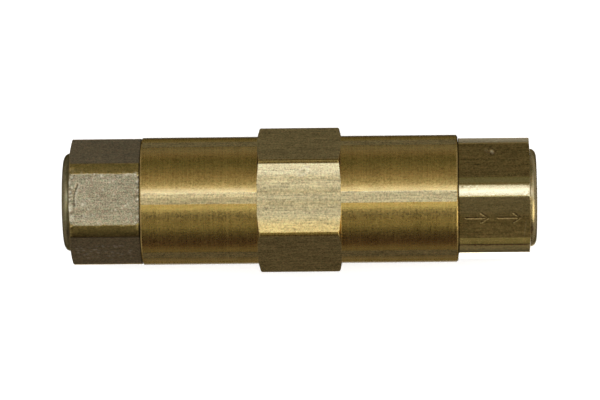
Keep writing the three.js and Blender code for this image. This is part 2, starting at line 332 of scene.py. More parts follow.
def cut(o, cutters, angle=32):
    """Takes cutters away from o for good, then sharpens its corners for shading."""
    for c in cutters:
        m = o.modifiers.new("cut", "BOOLEAN")
        m.operation, m.solver, m.object = "DIFFERENCE", "EXACT", c
    dg = bpy.context.evaluated_depsgraph_get()
    me = bpy.data.meshes.new_from_object(o.evaluated_get(dg))
    o.modifiers.clear()
    old = o.data
    o.data = me
    bpy.data.meshes.remove(old)
    for c in cutters:
        bpy.data.objects.remove(c, do_unlink=True)
    me.name = o.name
    b = bmesh.new()
    b.from_mesh(me)
    bmesh.ops.remove_doubles(b, verts=b.verts, dist=2e-7)
    b.to_mesh(me)
    b.free()
    me.polygons.foreach_set("use_smooth", np.ones(len(me.polygons), bool))
    me.set_sharp_from_angle(angle=angle * RAD)
    return o


def cutter(name, build):
    return finish_mesh(name, build, [], custom=False)


def rod_cutter(radius, centre, axis, half, cols=64, flare=0.0, flare_at=None):
    """A round cutter along axis, a little wider at each end of its walls to break the hole's edge."""
    a = Vector(axis).normalized()
    side = a.orthogonal().normalized()
    up = a.cross(side)
    steps = [(-half, radius), (half, radius)]
    if flare and flare_at:
        steps = []
        for s in sorted({-q for q in flare_at} | set(flare_at)):
            steps += [(s - flare, radius), (s, radius + flare), (s + flare, radius)]
        steps = (
            [(-half, radius)]
            + [q for q in steps if -half < q[0] < half]
            + [(half, radius)]
        )
    b = Build()
    w = np.linspace(0, 2 * math.pi, cols, endpoint=False)
    rows = []
    for s, r in steps:
        rows.append(
            [
                list(
                    Vector(centre) + a * s + (side * math.cos(q) + up * math.sin(q)) * r
                )
                for q in w
            ]
        )
    idx = b.grid(np.array(rows))
    b.cap(idx[0], Vector(centre) - a * half)
    b.cap(idx[-1], Vector(centre) + a * half)
    return cutter("cutter", b)


# ------------------------------------------------------------------ materials


class Nodes:
    def __init__(self, name):
        self.mat = bpy.data.materials.new(name)
        self.mat.use_nodes = True
        self.t = self.mat.node_tree
        self.t.nodes.clear()
        self.out = self.t.nodes.new("ShaderNodeOutputMaterial")
        self.bsdf = self.t.nodes.new("ShaderNodeBsdfPrincipled")
        self.link(self.bsdf.outputs[0], self.out.inputs["Surface"])
        tc = self.t.nodes.new("ShaderNodeTexCoord")
        mm = self.t.nodes.new("ShaderNodeVectorMath")
        mm.operation = "SCALE"
        mm.inputs["Scale"].default_value = 1000.0
        self.link(tc.outputs["Object"], mm.inputs[0])
        self.mm = mm.outputs[0]
        self.normal = None

    def link(self, a, b):
        self.t.links.new(a, b)

    def value(self, socket, v):
        if isinstance(v, (int, float)):
            socket.default_value = v
        elif isinstance(v, (tuple, list)):
            socket.default_value = (*v[:3], 1.0) if len(socket.default_value) == 4 else v
        else:
            self.link(v, socket)

    def stretch(self, sx, sy, sz, vector=None):
        n = self.t.nodes.new("ShaderNodeVectorMath")
        n.operation = "MULTIPLY"
        self.link(vector or self.mm, n.inputs[0])
        n.inputs[1].default_value = (sx, sy, sz)
        return n.outputs[0]

    def rings(self, feed):
        """A vector whose noise is feed lines round X, on cylinders and on end faces alike."""
        sep = self.t.nodes.new("ShaderNodeSeparateXYZ")
        self.link(self.mm, sep.inputs[0])
        x, y, z = sep.outputs
        radius = self.math("SQRT", self.math("ADD", self.math("MULTIPLY", y, y), self.math("MULTIPLY", z, z)))
        comb = self.t.nodes.new("ShaderNodeCombineXYZ")
        self.link(self.math("MULTIPLY", x, feed), comb.inputs[0])
        self.link(self.math("MULTIPLY", radius, feed), comb.inputs[1])
        self.link(self.math("MULTIPLY", y, 0.12), comb.inputs[2])
        return comb.outputs[0]

    def noise(self, vector=None, scale=1.0, detail=2.0, rough=0.5, distort=0.0):
        n = self.t.nodes.new("ShaderNodeTexNoise")
        self.link(vector or self.mm, n.inputs["Vector"])
        n.inputs["Scale"].default_value = scale
        n.inputs["Detail"].default_value = detail
        n.inputs["Roughness"].default_value = rough
        n.inputs["Distortion"].default_value = distort
        return n.outputs[0]

    def voronoi(self, vector=None, scale=1.0, randomness=1.0):
        n = self.t.nodes.new("ShaderNodeTexVoronoi")
        self.link(vector or self.mm, n.inputs["Vector"])
        n.inputs["Scale"].default_value = scale
        n.inputs["Randomness"].default_value = randomness
        return n.outputs["Distance"]

    def remap(self, v, a, b, c, d):
        n = self.t.nodes.new("ShaderNodeMapRange")
        n.clamp = True
        self.link(v, n.inputs["Value"])
        for k, q in zip(("From Min", "From Max", "To Min", "To Max"), (a, b, c, d)):
            n.inputs[k].default_value = q
        return n.outputs[0]

    def math(self, op, a, b=0.0):
        n = self.t.nodes.new("ShaderNodeMath")
        n.operation = op
        self.value(n.inputs[0], a)
        self.value(n.inputs[1], b)
        return n.outputs[0]

    def mix(self, fac, a, b, blend="MIX"):
        n = self.t.nodes.new("ShaderNodeMix")
        n.data_type = "RGBA"
        n.blend_type = blend
        self.value(n.inputs[0], fac)
        self.value(n.inputs[6], a)
        self.value(n.inputs[7], b)
        return n.outputs[2]

    def attribute(self, name):
        n = self.t.nodes.new("ShaderNodeAttribute")
        n.attribute_type = "GEOMETRY"
        n.attribute_name = name
        return n.outputs["Fac"]

    def bump(self, height, distance_mm, strength=1.0):
        n = self.t.nodes.new("ShaderNodeBump")
        n.inputs["Distance"].default_value = distance_mm * MM
        n.inputs["Strength"].default_value = strength
        self.link(height, n.inputs["Height"])
        if self.normal is not None:
            self.link(self.normal, n.inputs["Normal"])
        self.normal = n.outputs[0]

    def radial_tangent(self):
        n = self.t.nodes.new("ShaderNodeTangent")
        n.direction_type, n.axis = "RADIAL", "X"
        return n.outputs[0]

    def done(self, colour, rough, metallic, **fixed):
        s = self.bsdf.inputs
        self.value(s["Base Color"], colour)
        self.value(s["Roughness"], rough)
        s["Metallic"].default_value = metallic
        for k, v in fixed.items():
            s[k.replace("_", " ")].default_value = v
        if self.normal is not None:
            self.link(self.normal, s["Normal"])
        return self.mat


# tint of the painted grey reflection on the drawn flats
GREY_REFLECTION = (0.98, 1.07, 1.30)


def brass(name, base, kind, rough, lines=0.05, grain=0.10, rows=0.0, feed=7.0, tint=1.0, painted_reflection=False,
          pits=0.0, polish=0.0, edge=(1.0, 1.0, 1.0), grit=1.0):
    """Brass or bronze cut about X ("turned": fine feed lines round it) or drawn along X ("drawn": long
    die lines). lines, grain and rows are how strong each pattern is, tint how much the oxide's hue drifts,
    edge how much a glancing view shows. A switch multiplies in the painted reflection that three of the
    mesh's attributes hold: painted grey, and cream and gold painted highlights. One more attribute darkens
    the colour below 0, mostly painted shade, and pales it above 0, mostly painted highlight with some worn
    bare metal."""
    n = Nodes(name)
    turned = kind == "turned"
    line = n.noise(n.rings(feed) if turned else n.stretch(0.10, 4.6, 4.6), 1.0, 4.0, 0.62)
    row = n.noise(n.stretch(0.55, 7.5, 7.5), 1.0, 2.0, 0.55)
    sand = n.noise(None, 3.9 * grit, 1.3, 0.55)
    fine = n.noise(None, 7.0 * grit, 1.0, 0.5)
    band = n.noise(n.stretch(1.1, 0.04, 0.04), 1.0, 3.0, 0.6)
    cloud = n.noise(n.stretch(0.5, 0.9, 0.9), 0.55, 3.0, 0.55)
    hue = n.noise(None, 3.1, 2.0, 0.6)
    f = n.remap(line, 0.28, 0.72, 1 - lines, 1 + lines)
    f = n.math("ADD", f, n.remap(sand, 0.28, 0.72, -grain, grain))
    f = n.math("ADD", f, n.remap(fine, 0.28, 0.72, -grain * 0.7, grain * 0.7))
    if rows:
        f = n.math("ADD", f, n.remap(row, 0.28, 0.72, -rows, rows))
    f = n.math("ADD", f, n.remap(cloud, 0.30, 0.70, -0.05, 0.05))
    if turned:
        f = n.math("ADD", f, n.remap(band, 0.30, 0.70, -lines * 0.5, lines * 0.5))
    colour = n.mix(1.0, base, f, "MULTIPLY")
    k = 0.035 * tint
    drift = n.mix(n.remap(hue, 0.30, 0.70, 0, 1), (1 + k, 1 - k, 1 - 0.4 * k), (1 - k, 1 + k * 0.7, 1 + 0.6 * k))
    colour = n.mix(1.0, colour, drift, "MULTIPLY")
    # painted reflection: painted grey across a flat, cream and gold painted highlights along its edges
    if painted_reflection:
        grey_reflection_layer = n.mix(n.attribute("dull"), (1, 1, 1), GREY_REFLECTION)
        cream_highlight_layer = n.mix(n.attribute("cream"), (1, 1, 1), (1.50, 1.52, 1.62))
        gold = n.mix(n.attribute("gold"), (1, 1, 1), (1.33, 1.275, 1.08))
        for layer in (grey_reflection_layer, cream_highlight_layer, gold):
            colour = n.mix(1.0, colour, layer, "MULTIPLY")
    # below 0 darkens towards painted shade, above 0 pales towards a painted highlight, with some worn bare metal
    mark = n.attribute("mark")
    colour = n.mix(n.math("MAXIMUM", n.math("MULTIPLY", mark, -1.0), 0.0), colour, tuple(c * 0.12 for c in base))
    colour = n.mix(n.math("MAXIMUM", mark, 0.0), colour, (0.95, 0.88, 0.72))
    roughness = n.math(
        "ADD", n.remap(line, 0.30, 0.70, rough[0], rough[1]), n.remap(sand, 0.35, 0.72, -0.02, 0.06 + polish)
    )
    if pits:
        cells = n.voronoi(n.stretch(1.1, 1.7, 1.7), 1.0)
        hole = n.remap(cells, 0.02, 0.17, 1.0, 0.0)
        colour = n.mix(n.math("MULTIPLY", hole, pits), colour, tuple(c * 0.45 for c in base))
        roughness = n.math("ADD", roughness, n.math("MULTIPLY", hole, 0.15))
    n.bump(line, 0.010, 0.4)
    n.bump(sand, 0.006 + 0.03 * grain, 0.8)
    n.link(n.radial_tangent(), n.bsdf.inputs["Tangent"])
    n.bsdf.inputs["Anisotropic"].default_value = 0.55 if turned else 0.35
    n.bsdf.inputs["Anisotropic Rotation"].default_value = 0.25 if turned else 0.0
    return n.done(colour, roughness, 1.0, Specular_Tint=(*edge, 1.0))


def ground_metal(name, dark, light, rough=(0.12, 0.26), axis=(9.0, 0.5, 0.5)):
    """Ground or drawn steel, with fine lines across axis."""
    n = Nodes(name)
    lines = n.noise(n.stretch(*axis), 1.0, 4.0, 0.6)
    cloud = n.noise(None, 0.9, 3.0, 0.5)
    colour = n.mix(n.remap(lines, 0.34, 0.66, 0.0, 1.0), dark, light)
    colour = n.mix(n.remap(cloud, 0.5, 0.8, 0.0, 0.35), colour, tuple(c * 0.8 for c in dark))
    roughness = n.remap(lines, 0.3, 0.7, rough[0], rough[1])
    n.bump(lines, 0.006, 0.5)
    return n.done(colour, roughness, 1.0)


def rubber_material():
    n = Nodes("nitrile_rubber")
    grain = n.noise(None, 7.0, 4.0, 0.6)
    film = n.noise(None, 1.1, 3.0, 0.5)
    colour = n.mix(n.remap(grain, 0.35, 0.7, 0, 1), (0.010, 0.010, 0.011), (0.030, 0.030, 0.031))
    roughness = n.math("ADD", n.remap(film, 0.35, 0.7, 0.32, 0.58), n.remap(grain, 0.4, 0.7, 0, 0.08))
    n.bump(grain, 0.010, 0.5)
    return n.done(colour, roughness, 0.0, IOR=1.52)


def ptfe_material(name="ptfe", low=(0.76, 0.75, 0.71), high=(0.86, 0.86, 0.84)):
    n = Nodes(name)
    skive = n.noise(n.stretch(6.0, 0.4, 0.4), 1.0, 3.0, 0.5)
    mottle = n.noise(None, 2.2, 3.0, 0.5)
    colour = n.mix(n.remap(mottle, 0.35, 0.7, 0, 1), low, high)
    roughness = n.remap(skive, 0.3, 0.7, 0.34, 0.52)
    n.bump(skive, 0.008, 0.5)
    return n.done(colour, roughness, 0.0, IOR=1.38, Subsurface_Weight=0.15, Subsurface_Scale=0.0006)


DULL_EDGE = (0.42, 0.36, 0.24)
TURNED = brass("brass_turned", (0.72, 0.52, 0.20), "turned", (0.25, 0.31), 0.10, 0.13, 0.12, edge=(0.17, 0.17, 0.18))
DRAWN = brass("brass_drawn", (0.60, 0.465, 0.222), "drawn", (0.28, 0.36), 0.16, 0.30, 0.26, painted_reflection=True, pits=0.15,
              edge=DULL_EDGE)
DRAWN_OUTLET = brass("brass_drawn_outlet", (0.43, 0.315, 0.150), "drawn", (0.26, 0.34), 0.18, 0.24, 0.20, pits=0.12)
BURNISHED = brass("brass_burnished", (0.86, 0.73, 0.44), "turned", (0.15, 0.20), 0.05, 0.10, 0.08)
# smoother brass for the outlet's flat edges: burnished, its paler colour a painted highlight
BURNISHED_SHEEN_STRIP = brass("brass_burnished_sheen_strip", (0.84, 0.665, 0.350), "turned", (0.16, 0.21), 0.05, 0.10, 0.08)
TURNED_INLET = brass("brass_turned_inlet", (0.62, 0.475, 0.205), "turned", (0.28, 0.36), 0.08, 0.24, 0.10, pits=0.2,
                     edge=DULL_EDGE)
BOSS_INLET = brass("brass_boss_inlet", (0.36, 0.315, 0.185), "turned", (0.30, 0.40), 0.16, 0.18, 0.0, tint=1.5, pits=0.2,
                   edge=(0.22, 0.20, 0.16))
BOSS_OUTLET = brass("brass_boss_outlet", (0.60, 0.495, 0.285), "turned", (0.24, 0.30), 0.16, 0.08, 0.0,
                    edge=(0.30, 0.27, 0.20))
DRAWN_INLET = brass(
    "brass_drawn_inlet", (0.350, 0.272, 0.150), "drawn", (0.30, 0.40), 0.12, 0.32, 0.14, tint=1.5, pits=0.25
)
SCUFFED = brass(
    "brass_scuffed", (0.445, 0.358, 0.200), "drawn", (0.36, 0.48), 0.14, 0.48, 0.20, tint=2.3, painted_reflection=True, pits=0.3,
    grit=1.5
)
BORE = brass("brass_bore", (0.56, 0.40, 0.15), "turned", (0.28, 0.42), 0.12, 0.07, 0.0, 9.0)
BRONZE = brass("bronze_turned", (0.64, 0.37, 0.165), "turned", (0.22, 0.34), 0.09, 0.07, 0.0, 8.0)
STEEL = ground_metal("stainless_turned", (0.50, 0.50, 0.50), (0.72, 0.72, 0.71))
POLISHED = ground_metal(
    "stainless_ground", (0.56, 0.56, 0.56), (0.74, 0.74, 0.73), (0.07, 0.16), (14.0, 0.3, 0.3)
)
WIRE = ground_metal("spring_wire", (0.42, 0.42, 0.43), (0.62, 0.62, 0.62), (0.18, 0.34), (2.0, 5.0, 5.0))
RUBBER = rubber_material()
PTFE = ptfe_material()
FILLED_PTFE = ptfe_material("filled_ptfe", (0.030, 0.022, 0.014), (0.060, 0.044, 0.028))

# ------------------------------------------------------------------ bar flats


def bar_height(t, which, seed, top=None):
    """How far a drawn flat lies off its true plane, by t, the distance across it in mm: long, even die lines."""
    h = np.zeros(np.shape(t))
    for w in range(6):
        wave = (
            0.010 * noise(t * 0.42 + 7.3 * w, 3.1 * w, 0.0, seed)
            + 0.0035 * noise(t * 1.7 + 2.9 * w, 1.7 * w, 0.0, seed + 1)
            + 0.0012 * noise(t * 5.1 + 4.7 * w, 5.3 * w, 0.0, seed + 2)
        )
        if w == 0 and top is not None:
            wave = top(t)
        h = np.where(which == w, wave, h)
    return h


_t = np.linspace(-5.5, 5.5, 1101)
_tilt = (
    5.2 * smooth(2.2, 3.9, _t)
    + 2.2 * np.exp(-(((_t - 1.15) / 0.10) ** 2))
    + 1.8 * np.exp(-(((_t - 0.45) / 0.09) ** 2))
    - 0.8 * np.exp(-(((_t + 0.6) / 1.0) ** 2))
    + 3.4 * smooth(-2.9, -3.5, _t)
    + 0.9 * noise(_t * 1.6, 0.0, 0.0, 91)
    + 0.7 * noise(_t * 4.3, 0.0, 0.0, 92)
)
_height = np.concatenate([[0], np.cumsum(-np.tan(_tilt[:-1] * RAD) * (_t[1] - _t[0]))])
_height -= _height.max()


def barrel_top(t):
    return np.interp(t, _t, _height)


# ------------------------------------------------------------------ adjusting barrel


def make_barrel():
    hex_edge = math.degrees(math.acos(BARREL_AF / 2 / BARREL_HEX_R))
    strip = math.degrees(math.acos(BARREL_AF / 2 / BARREL_R))
    special = []
    for k in range(6):
        special += [60 * k + s * q for s in (-1, 1) for q in (hex_edge, strip)]
    th = angles(1.6, special, near=(0.22, 0.5, 0.9))
    H, X = BARREL_HALF, HEX_HALF
    half = [
        (-X + 0.25, BARREL_HEX_R, 0.26),
        (-X, BARREL_R + 0.13, 0.03),
        (-X, BARREL_R, 0.05),
        (-H + 0.19, BARREL_R, 0.15),
        (-H, BARREL_R - 0.17, 0.05),
        (-H, 7.32),
    ]
    prof = half[::-1] + [(-x, *rest) for x, *rest in half]
    prof = fillet(prof, 4)
    prof = densify(
        prof,
        lambda x, r: 0.045
        if r > BARREL_R + 0.02 and abs(abs(x) - X) < 0.35
        else ((0.09 if 0.2 < x < 1.1 else 0.38) if abs(x) < X else (0.10 if abs(x) < X + 0.5 or abs(x) > H - 0.4 else 0.85)),
    )
    x, rt, t = np.broadcast_arrays(prof[:, :1], prof[:, 1:2], th[None, :])
    rel, which = from_flat(t, 0.0)
    across = BARREL_AF / 2 * np.tan(rel * RAD)
    h = bar_height(across, which, 11, barrel_top)
    h = np.where(np.abs(x) > X, h * 0.05, h)
    plane = BARREL_AF / 2 + h
    d = plane / np.cos(rel * RAD)
    on_hex = rt > BARREL_R + 0.01
    # the turned sleeves are not quite true, and the hexagon's edges are slightly nicked
    rt = rt + np.where(on_hex, 0.0, 0.0022 * noise(x * 0.55, t * 0.035, 0.0, 5))
    nick = noise(x * 1.3, t * 0.22, 0.0, 21) * 0.5 + noise(x * 3.4, t * 0.6, 1.0, 22) * 0.5
    rt = rt - np.where(on_hex & (rt > BARREL_R + 0.2), 0.035 * smooth(0.35, 0.9, nick), 0.0)
    k = np.where(on_hex, 0.075, 0.005)
    r = smin(rt, d, k)
    r = np.where(rt < BARREL_AF / 2 - 0.1, rt, r)
    flat = (d < rt - 0.0).astype(float) * (rt > BARREL_AF / 2 - 0.05)
    # each quad is turned or drawn metal, by its four corners
    fq = flat[:-1] + flat[1:]
    fq = fq + np.roll(fq, -1, axis=1)
    # painted reflection on the top flat: painted grey along its middle and painted highlights along its two edges,
    # cream above and gold below; a trace of the painted grey elsewhere
    die = noise(across * 1.25, x * 0.05, 0, 15) * 0.6 + noise(across * 3.4, x * 0.07, 0, 16) * 0.4
    top = (which == 0) & (np.abs(x) < X)
    dull = np.where(which == 0, smooth(-3.9, -2.6, across) * (0.75 + 0.25 * die), 0.12)
    cream = np.where(top, smooth(2.6, 4.3, across) * 0.75 + smooth(0.8, 2.6, across) * 0.38 + 0.14 * die, 0.0)
    gold = np.where(top, smooth(-1.6, -3.9, across) * 0.95, 0.0)
    # the strips that flat leaves on the sleeves take the painted grey reflection too, the outlet one more
    dull = np.where((which == 0) & ~top, np.where(x < 0, 0.35, 0.8), dull)
    # painted highlight: each sleeve's strip is painted brightest along its upper edge, and the inlet one's also beside
    # its middle, with painted shade just below that
    round_top = (t + 180) % 360 - 180
    shine = 1.1 * np.where(x < 0, smooth(2.9, 4.1, round_top), smooth(3.5, 4.7, round_top))
    shine = shine + np.where(x < 0, 0.8 * np.exp(-(((round_top - 1.7) / 1.4) ** 2)) - 0.22 * smooth(-0.4, -1.4, round_top), 0)
    cream = np.where((which == 0) & ~top, -0.18 + 0.08 * die + shine, cream)
    b = Build()
    # painted shade in the crevices at the two joints
    mark = -0.85 * smooth(H - 0.10, H - 0.03, np.abs(x)) * smooth(BARREL_R - 0.4, BARREL_R - 0.25, rt)
    # painted shade: its other flats are a little darker, as is the corner above it
    mark = mark - np.where((which != 0) & (np.abs(x) < X), 0.12, 0.0)
    corner = (t > 28.6) & (t < 31.6) & (np.abs(x) < X) & (rt > BARREL_R + 0.2)
    mark = mark - np.where(corner, 0.42, 0.0)
    # painted highlight beside each sleeve's strip, stronger on the inlet sleeve; painted shade on the inlet strip and
    # just below it
    sleeve_highlight = np.exp(-(((round_top - 6.6) / 2.2) ** 2)) * smooth(X + 0.2, X + 1.5, np.abs(x))
    mark = mark + sleeve_highlight * np.where(x < 0, 0.16, 0.06)
    mark = mark - np.where((x < -X) & (np.abs(round_top + 2.2) < 3.0), 0.17, 0.0)
    mark = mark - np.where(x < -X, 0.13 * np.exp(-(((round_top + 6.8) / 1.3) ** 2)), 0.0)
    # a small nick in the top flat, painted only: painted shade in it, a painted highlight round it
    nick_at = np.hypot((x - 0.62) / 0.24 - (across - 3.35) / 0.45, (across - 3.35) / 0.30)
    mark = mark + np.where(top, -0.60 * np.exp(-(nick_at**2)) + 0.30 * np.exp(-(((nick_at - 1.8) / 0.5) ** 2)), 0)
    idx = b.grid(
        place(x, r, t), mat=np.where(fq >= 2.5, 1, 0), tags={"dull": dull, "cream": cream, "gold": gold, "mark": mark}
    )
    # inside: bearing bores, washer recesses and the adjusting thread
    ti = np.linspace(0, 360, 120, endpoint=False)
    bore = fillet(
        [
            (H, 7.17),
            (H - 0.06, 7.11, 0.03),
            (19.15, 7.11, 0.05),
            (19.15, 6.62, 0.03),
            (19.03, 6.5, 0.05),
            (11.75, 6.5, 0.08),
            (11.3, 6.02, 0.05),
        ],
        3,
    )
    n = int(22.6 / PITCH * 11)
    mid = np.stack([np.linspace(11.3, -11.3, n + 1), np.full(n + 1, 6.02)], 1)[1:-1]
    inner = np.concatenate([bore, mid, (bore * [-1, 1])[::-1]])
    xi, ri, tt = np.broadcast_arrays(inner[:, :1], inner[:, 1:2], ti[None, :])
    fade = smooth(11.5, 10.6, np.abs(xi))
    on = (np.abs(xi) < 11.5) & (ri < 6.4)
    ri = ri + np.where(on, fade * 0.46 * thread(xi, tt, PITCH), 0.0)
    idi = b.grid(place(xi, ri, tt), mat=2)
    b.bridge(idx[-1], th, idi[0], ti, 0)
    b.bridge(idx[0], th, idi[-1], ti, 0)
    o = finish_mesh("adjusting_barrel_fine", b, [TURNED, DRAWN, BORE])
    return put(o, "adjusting_barrel", "barrel")


# ------------------------------------------------------------------ end adapters


def segment_distance(px, py, a, b):
    ax, ay = a
    bx, by = b
    dx, dy = bx - ax, by - ay
    u = np.clip(((px - ax) * dx + (py - ay) * dy) / (dx * dx + dy * dy), 0, 1)
    return np.hypot(px - ax - u * dx, py - ay - u * dy)


def make_adapter(side):
    inlet = side < 0
    turn = INLET_FLAT if inlet else OUTLET_FLAT
    edge = math.degrees(math.acos(ADAPTER_AF / 2 / ADAPTER_HEX_R))
    special = [turn + 60 * k + s * edge for k in range(6) for s in (-1, 1)]
    # the outlet's lower flat carries the flow arrows, and its upper flat a nick
    window = [] if inlet else [
        (turn - 60 - 3, turn - 60 + 17, 0.55),
        (turn + 8, turn + 19, 0.7),
    ]
    if inlet:
        window = [(turn - 24.6, turn + 24.6, 0.8), (turn - 60 - 19, turn - 60 + 11, 0.9)]
    th = angles(1.8, special, near=(0.25, 0.55, 1.0), window=window)
    chamfer = 0.32 if inlet else 0.14
    E = ADAPTER_END
    prof = fillet(
        [
            (ADAPTER_FACE, 6.95),
            (ADAPTER_FACE, ADAPTER_HEX_R - 0.03, 0.012),
            (ADAPTER_FACE + 0.03, ADAPTER_HEX_R, 0.012),
            (ADAPTER_HEX_END - chamfer, ADAPTER_HEX_R, 0.20 if inlet else 0.12),
            (ADAPTER_HEX_END, BOSS_R + 0.02, 0.03),
        ]
        + [
            (
                ADAPTER_HEX_END + 0.02 + (E - ADAPTER_HEX_END - 0.02) * math.sin(q * RAD),
                BOSS_R + 0.02 - 0.94 * (1 - math.cos(q * RAD)),
            )
            for q in range(0, 91, 5)
        ],
        6,
    )
    fine = 0.08 if not inlet else 0.10
    prof = densify(
        prof,
        lambda x, r: fine
        if ADAPTER_FACE + 0.2 < x < 28.2
        else (0.06 if r > BOSS_R + 0.05 else 0.25),
    )
    nboss = int(np.sum(prof[:, 0] > ADAPTER_HEX_END - 0.02))
    u, rt, t = np.broadcast_arrays(prof[:, :1], prof[:, 1:2], th[None, :])
    rel, which = from_flat(t, turn)
    across = ADAPTER_AF / 2 * np.tan(rel * RAD)
    h = bar_height(across, which, 31 if inlet else 47) * 0.8
    # painted shade in the crevice where the adapter meets the barrel
    mark = -0.8 * smooth(ADAPTER_FACE + 0.11, ADAPTER_FACE + 0.04, u) * smooth(6.9, 7.0, rt)
    if inlet:
        # scuffed, slightly dished top flat with wrench dents by its outer edge
        scuff = (
            0.012 * noise(u * 1.1, across * 1.1, 0.0, 61)
            + 0.010 * noise(u * 2.7, across * 2.3, 0.0, 62)
        )
        h = np.where(which == 0, h * 0.4 + scuff * 0.6 + 0.05 * smooth(-1.5, -3.2, across), h)
        for cx, cy, rx, ry, depth in (
            (28.35, -0.9, 0.34, 0.60, 0.070),
            (28.20, -2.2, 0.40, 0.55, 0.050),
            (28.45, 2.3, 0.26, 0.40, 0.090),
            (28.40, 1.1, 0.22, 0.26, 0.080),
            (28.50, 0.1, 0.20, 0.22, 0.090),
            (28.15, 2.95, 0.25, 0.25, 0.080),
            (27.3, -1.9, 0.35, 0.10, 0.030),
            (20.02, 2.4, 0.20, 0.35, 0.100),
            (19.98, 1.3, 0.16, 0.22, 0.080),
            (20.05, 0.1, 0.22, 0.30, 0.090),
            (20.00, -0.9, 0.14, 0.20, 0.070),
            (20.04, -2.1, 0.20, 0.35, 0.090),
            (24.6, -2.4, 0.45, 0.07, 0.025),
            (26.2, 2.9, 0.30, 0.16, 0.060),
            (24.9, 3.0, 0.22, 0.14, 0.060),
            (23.6, 2.9, 0.26, 0.15, 0.050),
            (22.3, 3.0, 0.30, 0.14, 0.060),
        ):
            q = ((u - cx) / rx) ** 2 + ((across - cy) / ry) ** 2
            h = h - np.where(which == 0, depth * np.exp(-q), 0)
            # painted highlight in each dent's middle, painted shade round its rim
            mark = mark + np.where(which == 0, depth * (6.0 * np.exp(-q) - 5.0 * np.exp(-(((np.sqrt(q) - 1.3) / 0.3) ** 2))), 0)
        # a curved wrench bite near the outer end, with the lip it pushed up
        bite = np.minimum.reduce(
            [
                segment_distance(u, across, (27.42, 1.95), (27.72, 1.2)),
                segment_distance(u, across, (27.72, 1.2), (27.92, 0.3)),
                segment_distance(u, across, (27.92, 0.3), (27.86, -0.7)),
            ]
        )
        h = h - np.where(which == 0, 0.075 * np.exp(-((bite / 0.11) ** 2)), 0)
        h = h + np.where((which == 0) & (u > 27.75), 0.025 * np.exp(-(((bite - 0.28) / 0.12) ** 2)), 0)
        # painted shade in the bite, a painted highlight along its inner side
        mark = mark - np.where(which == 0, 0.75 * np.exp(-((bite / 0.10) ** 2)), 0)
        mark = mark + np.where((which == 0) & (u < 27.8), 0.40 * np.exp(-(((bite - 0.22) / 0.09) ** 2)), 0)
        # painted highlights, with a few darker flecks, over the flat and crowded along its upper edge and both ends
        rng = np.random.default_rng(19)
        for k in range(150):
            cx, cy = rng.uniform(20.0, 28.6), rng.uniform(-3.4, 3.5)
            if k < 34:
                cy = rng.uniform(3.0, 3.6)
            elif k < 60:
                cx = rng.uniform(19.95, 20.3)
            elif k < 90:
                cx = rng.uniform(28.1, 28.7)
            q = ((u - cx) ** 2 + (across - cy) ** 2) / rng.uniform(0.08, 0.14) ** 2
            mark = mark + np.where(which == 0, rng.uniform(-0.35, 0.95) * np.exp(-q), 0)
        mark = mark + np.where(which == 0, 0.09 * noise(u * 0.75, across * 0.7, 0, 85) + 0.06 * noise(u * 2.1, across * 1.9, 0, 86), 0)
        # small peened specks on the flat below it
        rng = np.random.default_rng(7)
        for _ in range(46):
            cx, cy = rng.uniform(21.0, 27.8), rng.uniform(-2.3, 1.2)
            q = ((u - cx) ** 2 + (across - cy) ** 2) / rng.uniform(0.12, 0.18) ** 2
            h = h - np.where(which == 5, 0.038 * np.exp(-q), 0)
            mark = mark + np.where(which == 5, rng.uniform(0.08, 0.50) * np.exp(-q), 0)
    else:
        # the bar is not quite regular, and its upper flat rolls off to the corner
        h = h + np.where(which == 0, 0.065 - 0.035 * np.clip(-2.27 - across, 0, 1.0), 0)
        h = h + np.where(which == 5, 0.030, 0) + np.where(which == 4, 0.070, 0)
        # two flow arrows stamped on the lower flat
        low = which == 5
        for x0 in (20.62, 24.62):
            tip, tail, mid_t = x0 + 2.8, x0, 0.33
            dist = np.minimum.reduce(
                [
                    segment_distance(u, across, (tail, mid_t), (tip, mid_t)),
                    segment_distance(u, across, (tip, mid_t), (tip - 0.85, mid_t + 0.62)),
                    segment_distance(u, across, (tip, mid_t), (tip - 0.85, mid_t - 0.62)),
                ]
            )
            h = h - np.where(low, 0.050 * np.exp(-((dist / 0.085) ** 2)), 0)
            h = h + np.where(low, 0.008 * np.exp(-(((dist - 0.2) / 0.07) ** 2)), 0)
        scratch = segment_distance(u, across, (28.14, -0.1), (27.88, -2.3))
        h = h - np.where(low, 0.020 * np.exp(-((scratch / 0.06) ** 2)), 0)
        mark = mark + np.where(low, 0.16 * np.exp(-((scratch / 0.06) ** 2)), 0)
        # nicks in the upper flat, dented, with a painted highlight in each and painted shade round it
        high = which == 0
        for cx, cy, rad, depth in ((24.05, 1.66, 0.22, 0.11), (23.86, 1.88, 0.20, 0.09), (23.60, 1.72, 0.13, 0.06), (23.22, 2.02, 0.20, 0.05), (23.45, 1.86, 0.15, 0.05)):
            q = ((u - cx) / rad) ** 2 + ((across - cy) / (rad * 1.3)) ** 2
            h = h - np.where(high, depth * np.exp(-q), 0)
            h = h + np.where(high, depth * 0.3 * np.exp(-(((np.sqrt(q) - 1.7) / 0.5) ** 2)), 0)
            mark = mark + np.where(high, depth * (6.5 * np.exp(-q * 1.6) - 3.5 * np.exp(-(((np.sqrt(q) - 1.5) / 0.4) ** 2))), 0)
    d = (ADAPTER_AF / 2 + h) / np.cos(rel * RAD)
    # rolled, handled edges
    nick = noise(u * 1.5, t * 0.25, 0.0, 71 + side) * 0.5 + noise(u * 3.9, t * 0.7, 2.0, 73) * 0.5
    rt = rt - np.where(rt > BOSS_R + 0.4, 0.04 * smooth(0.30, 0.9, nick), 0)
    rt = rt + np.where(
        (rt > BOSS_R + 0.1) & (u > 28.3), (0.09 if inlet else 0.03) * noise(u * 2, t * 0.33, 3.0, 75), 0
    )
    if inlet:
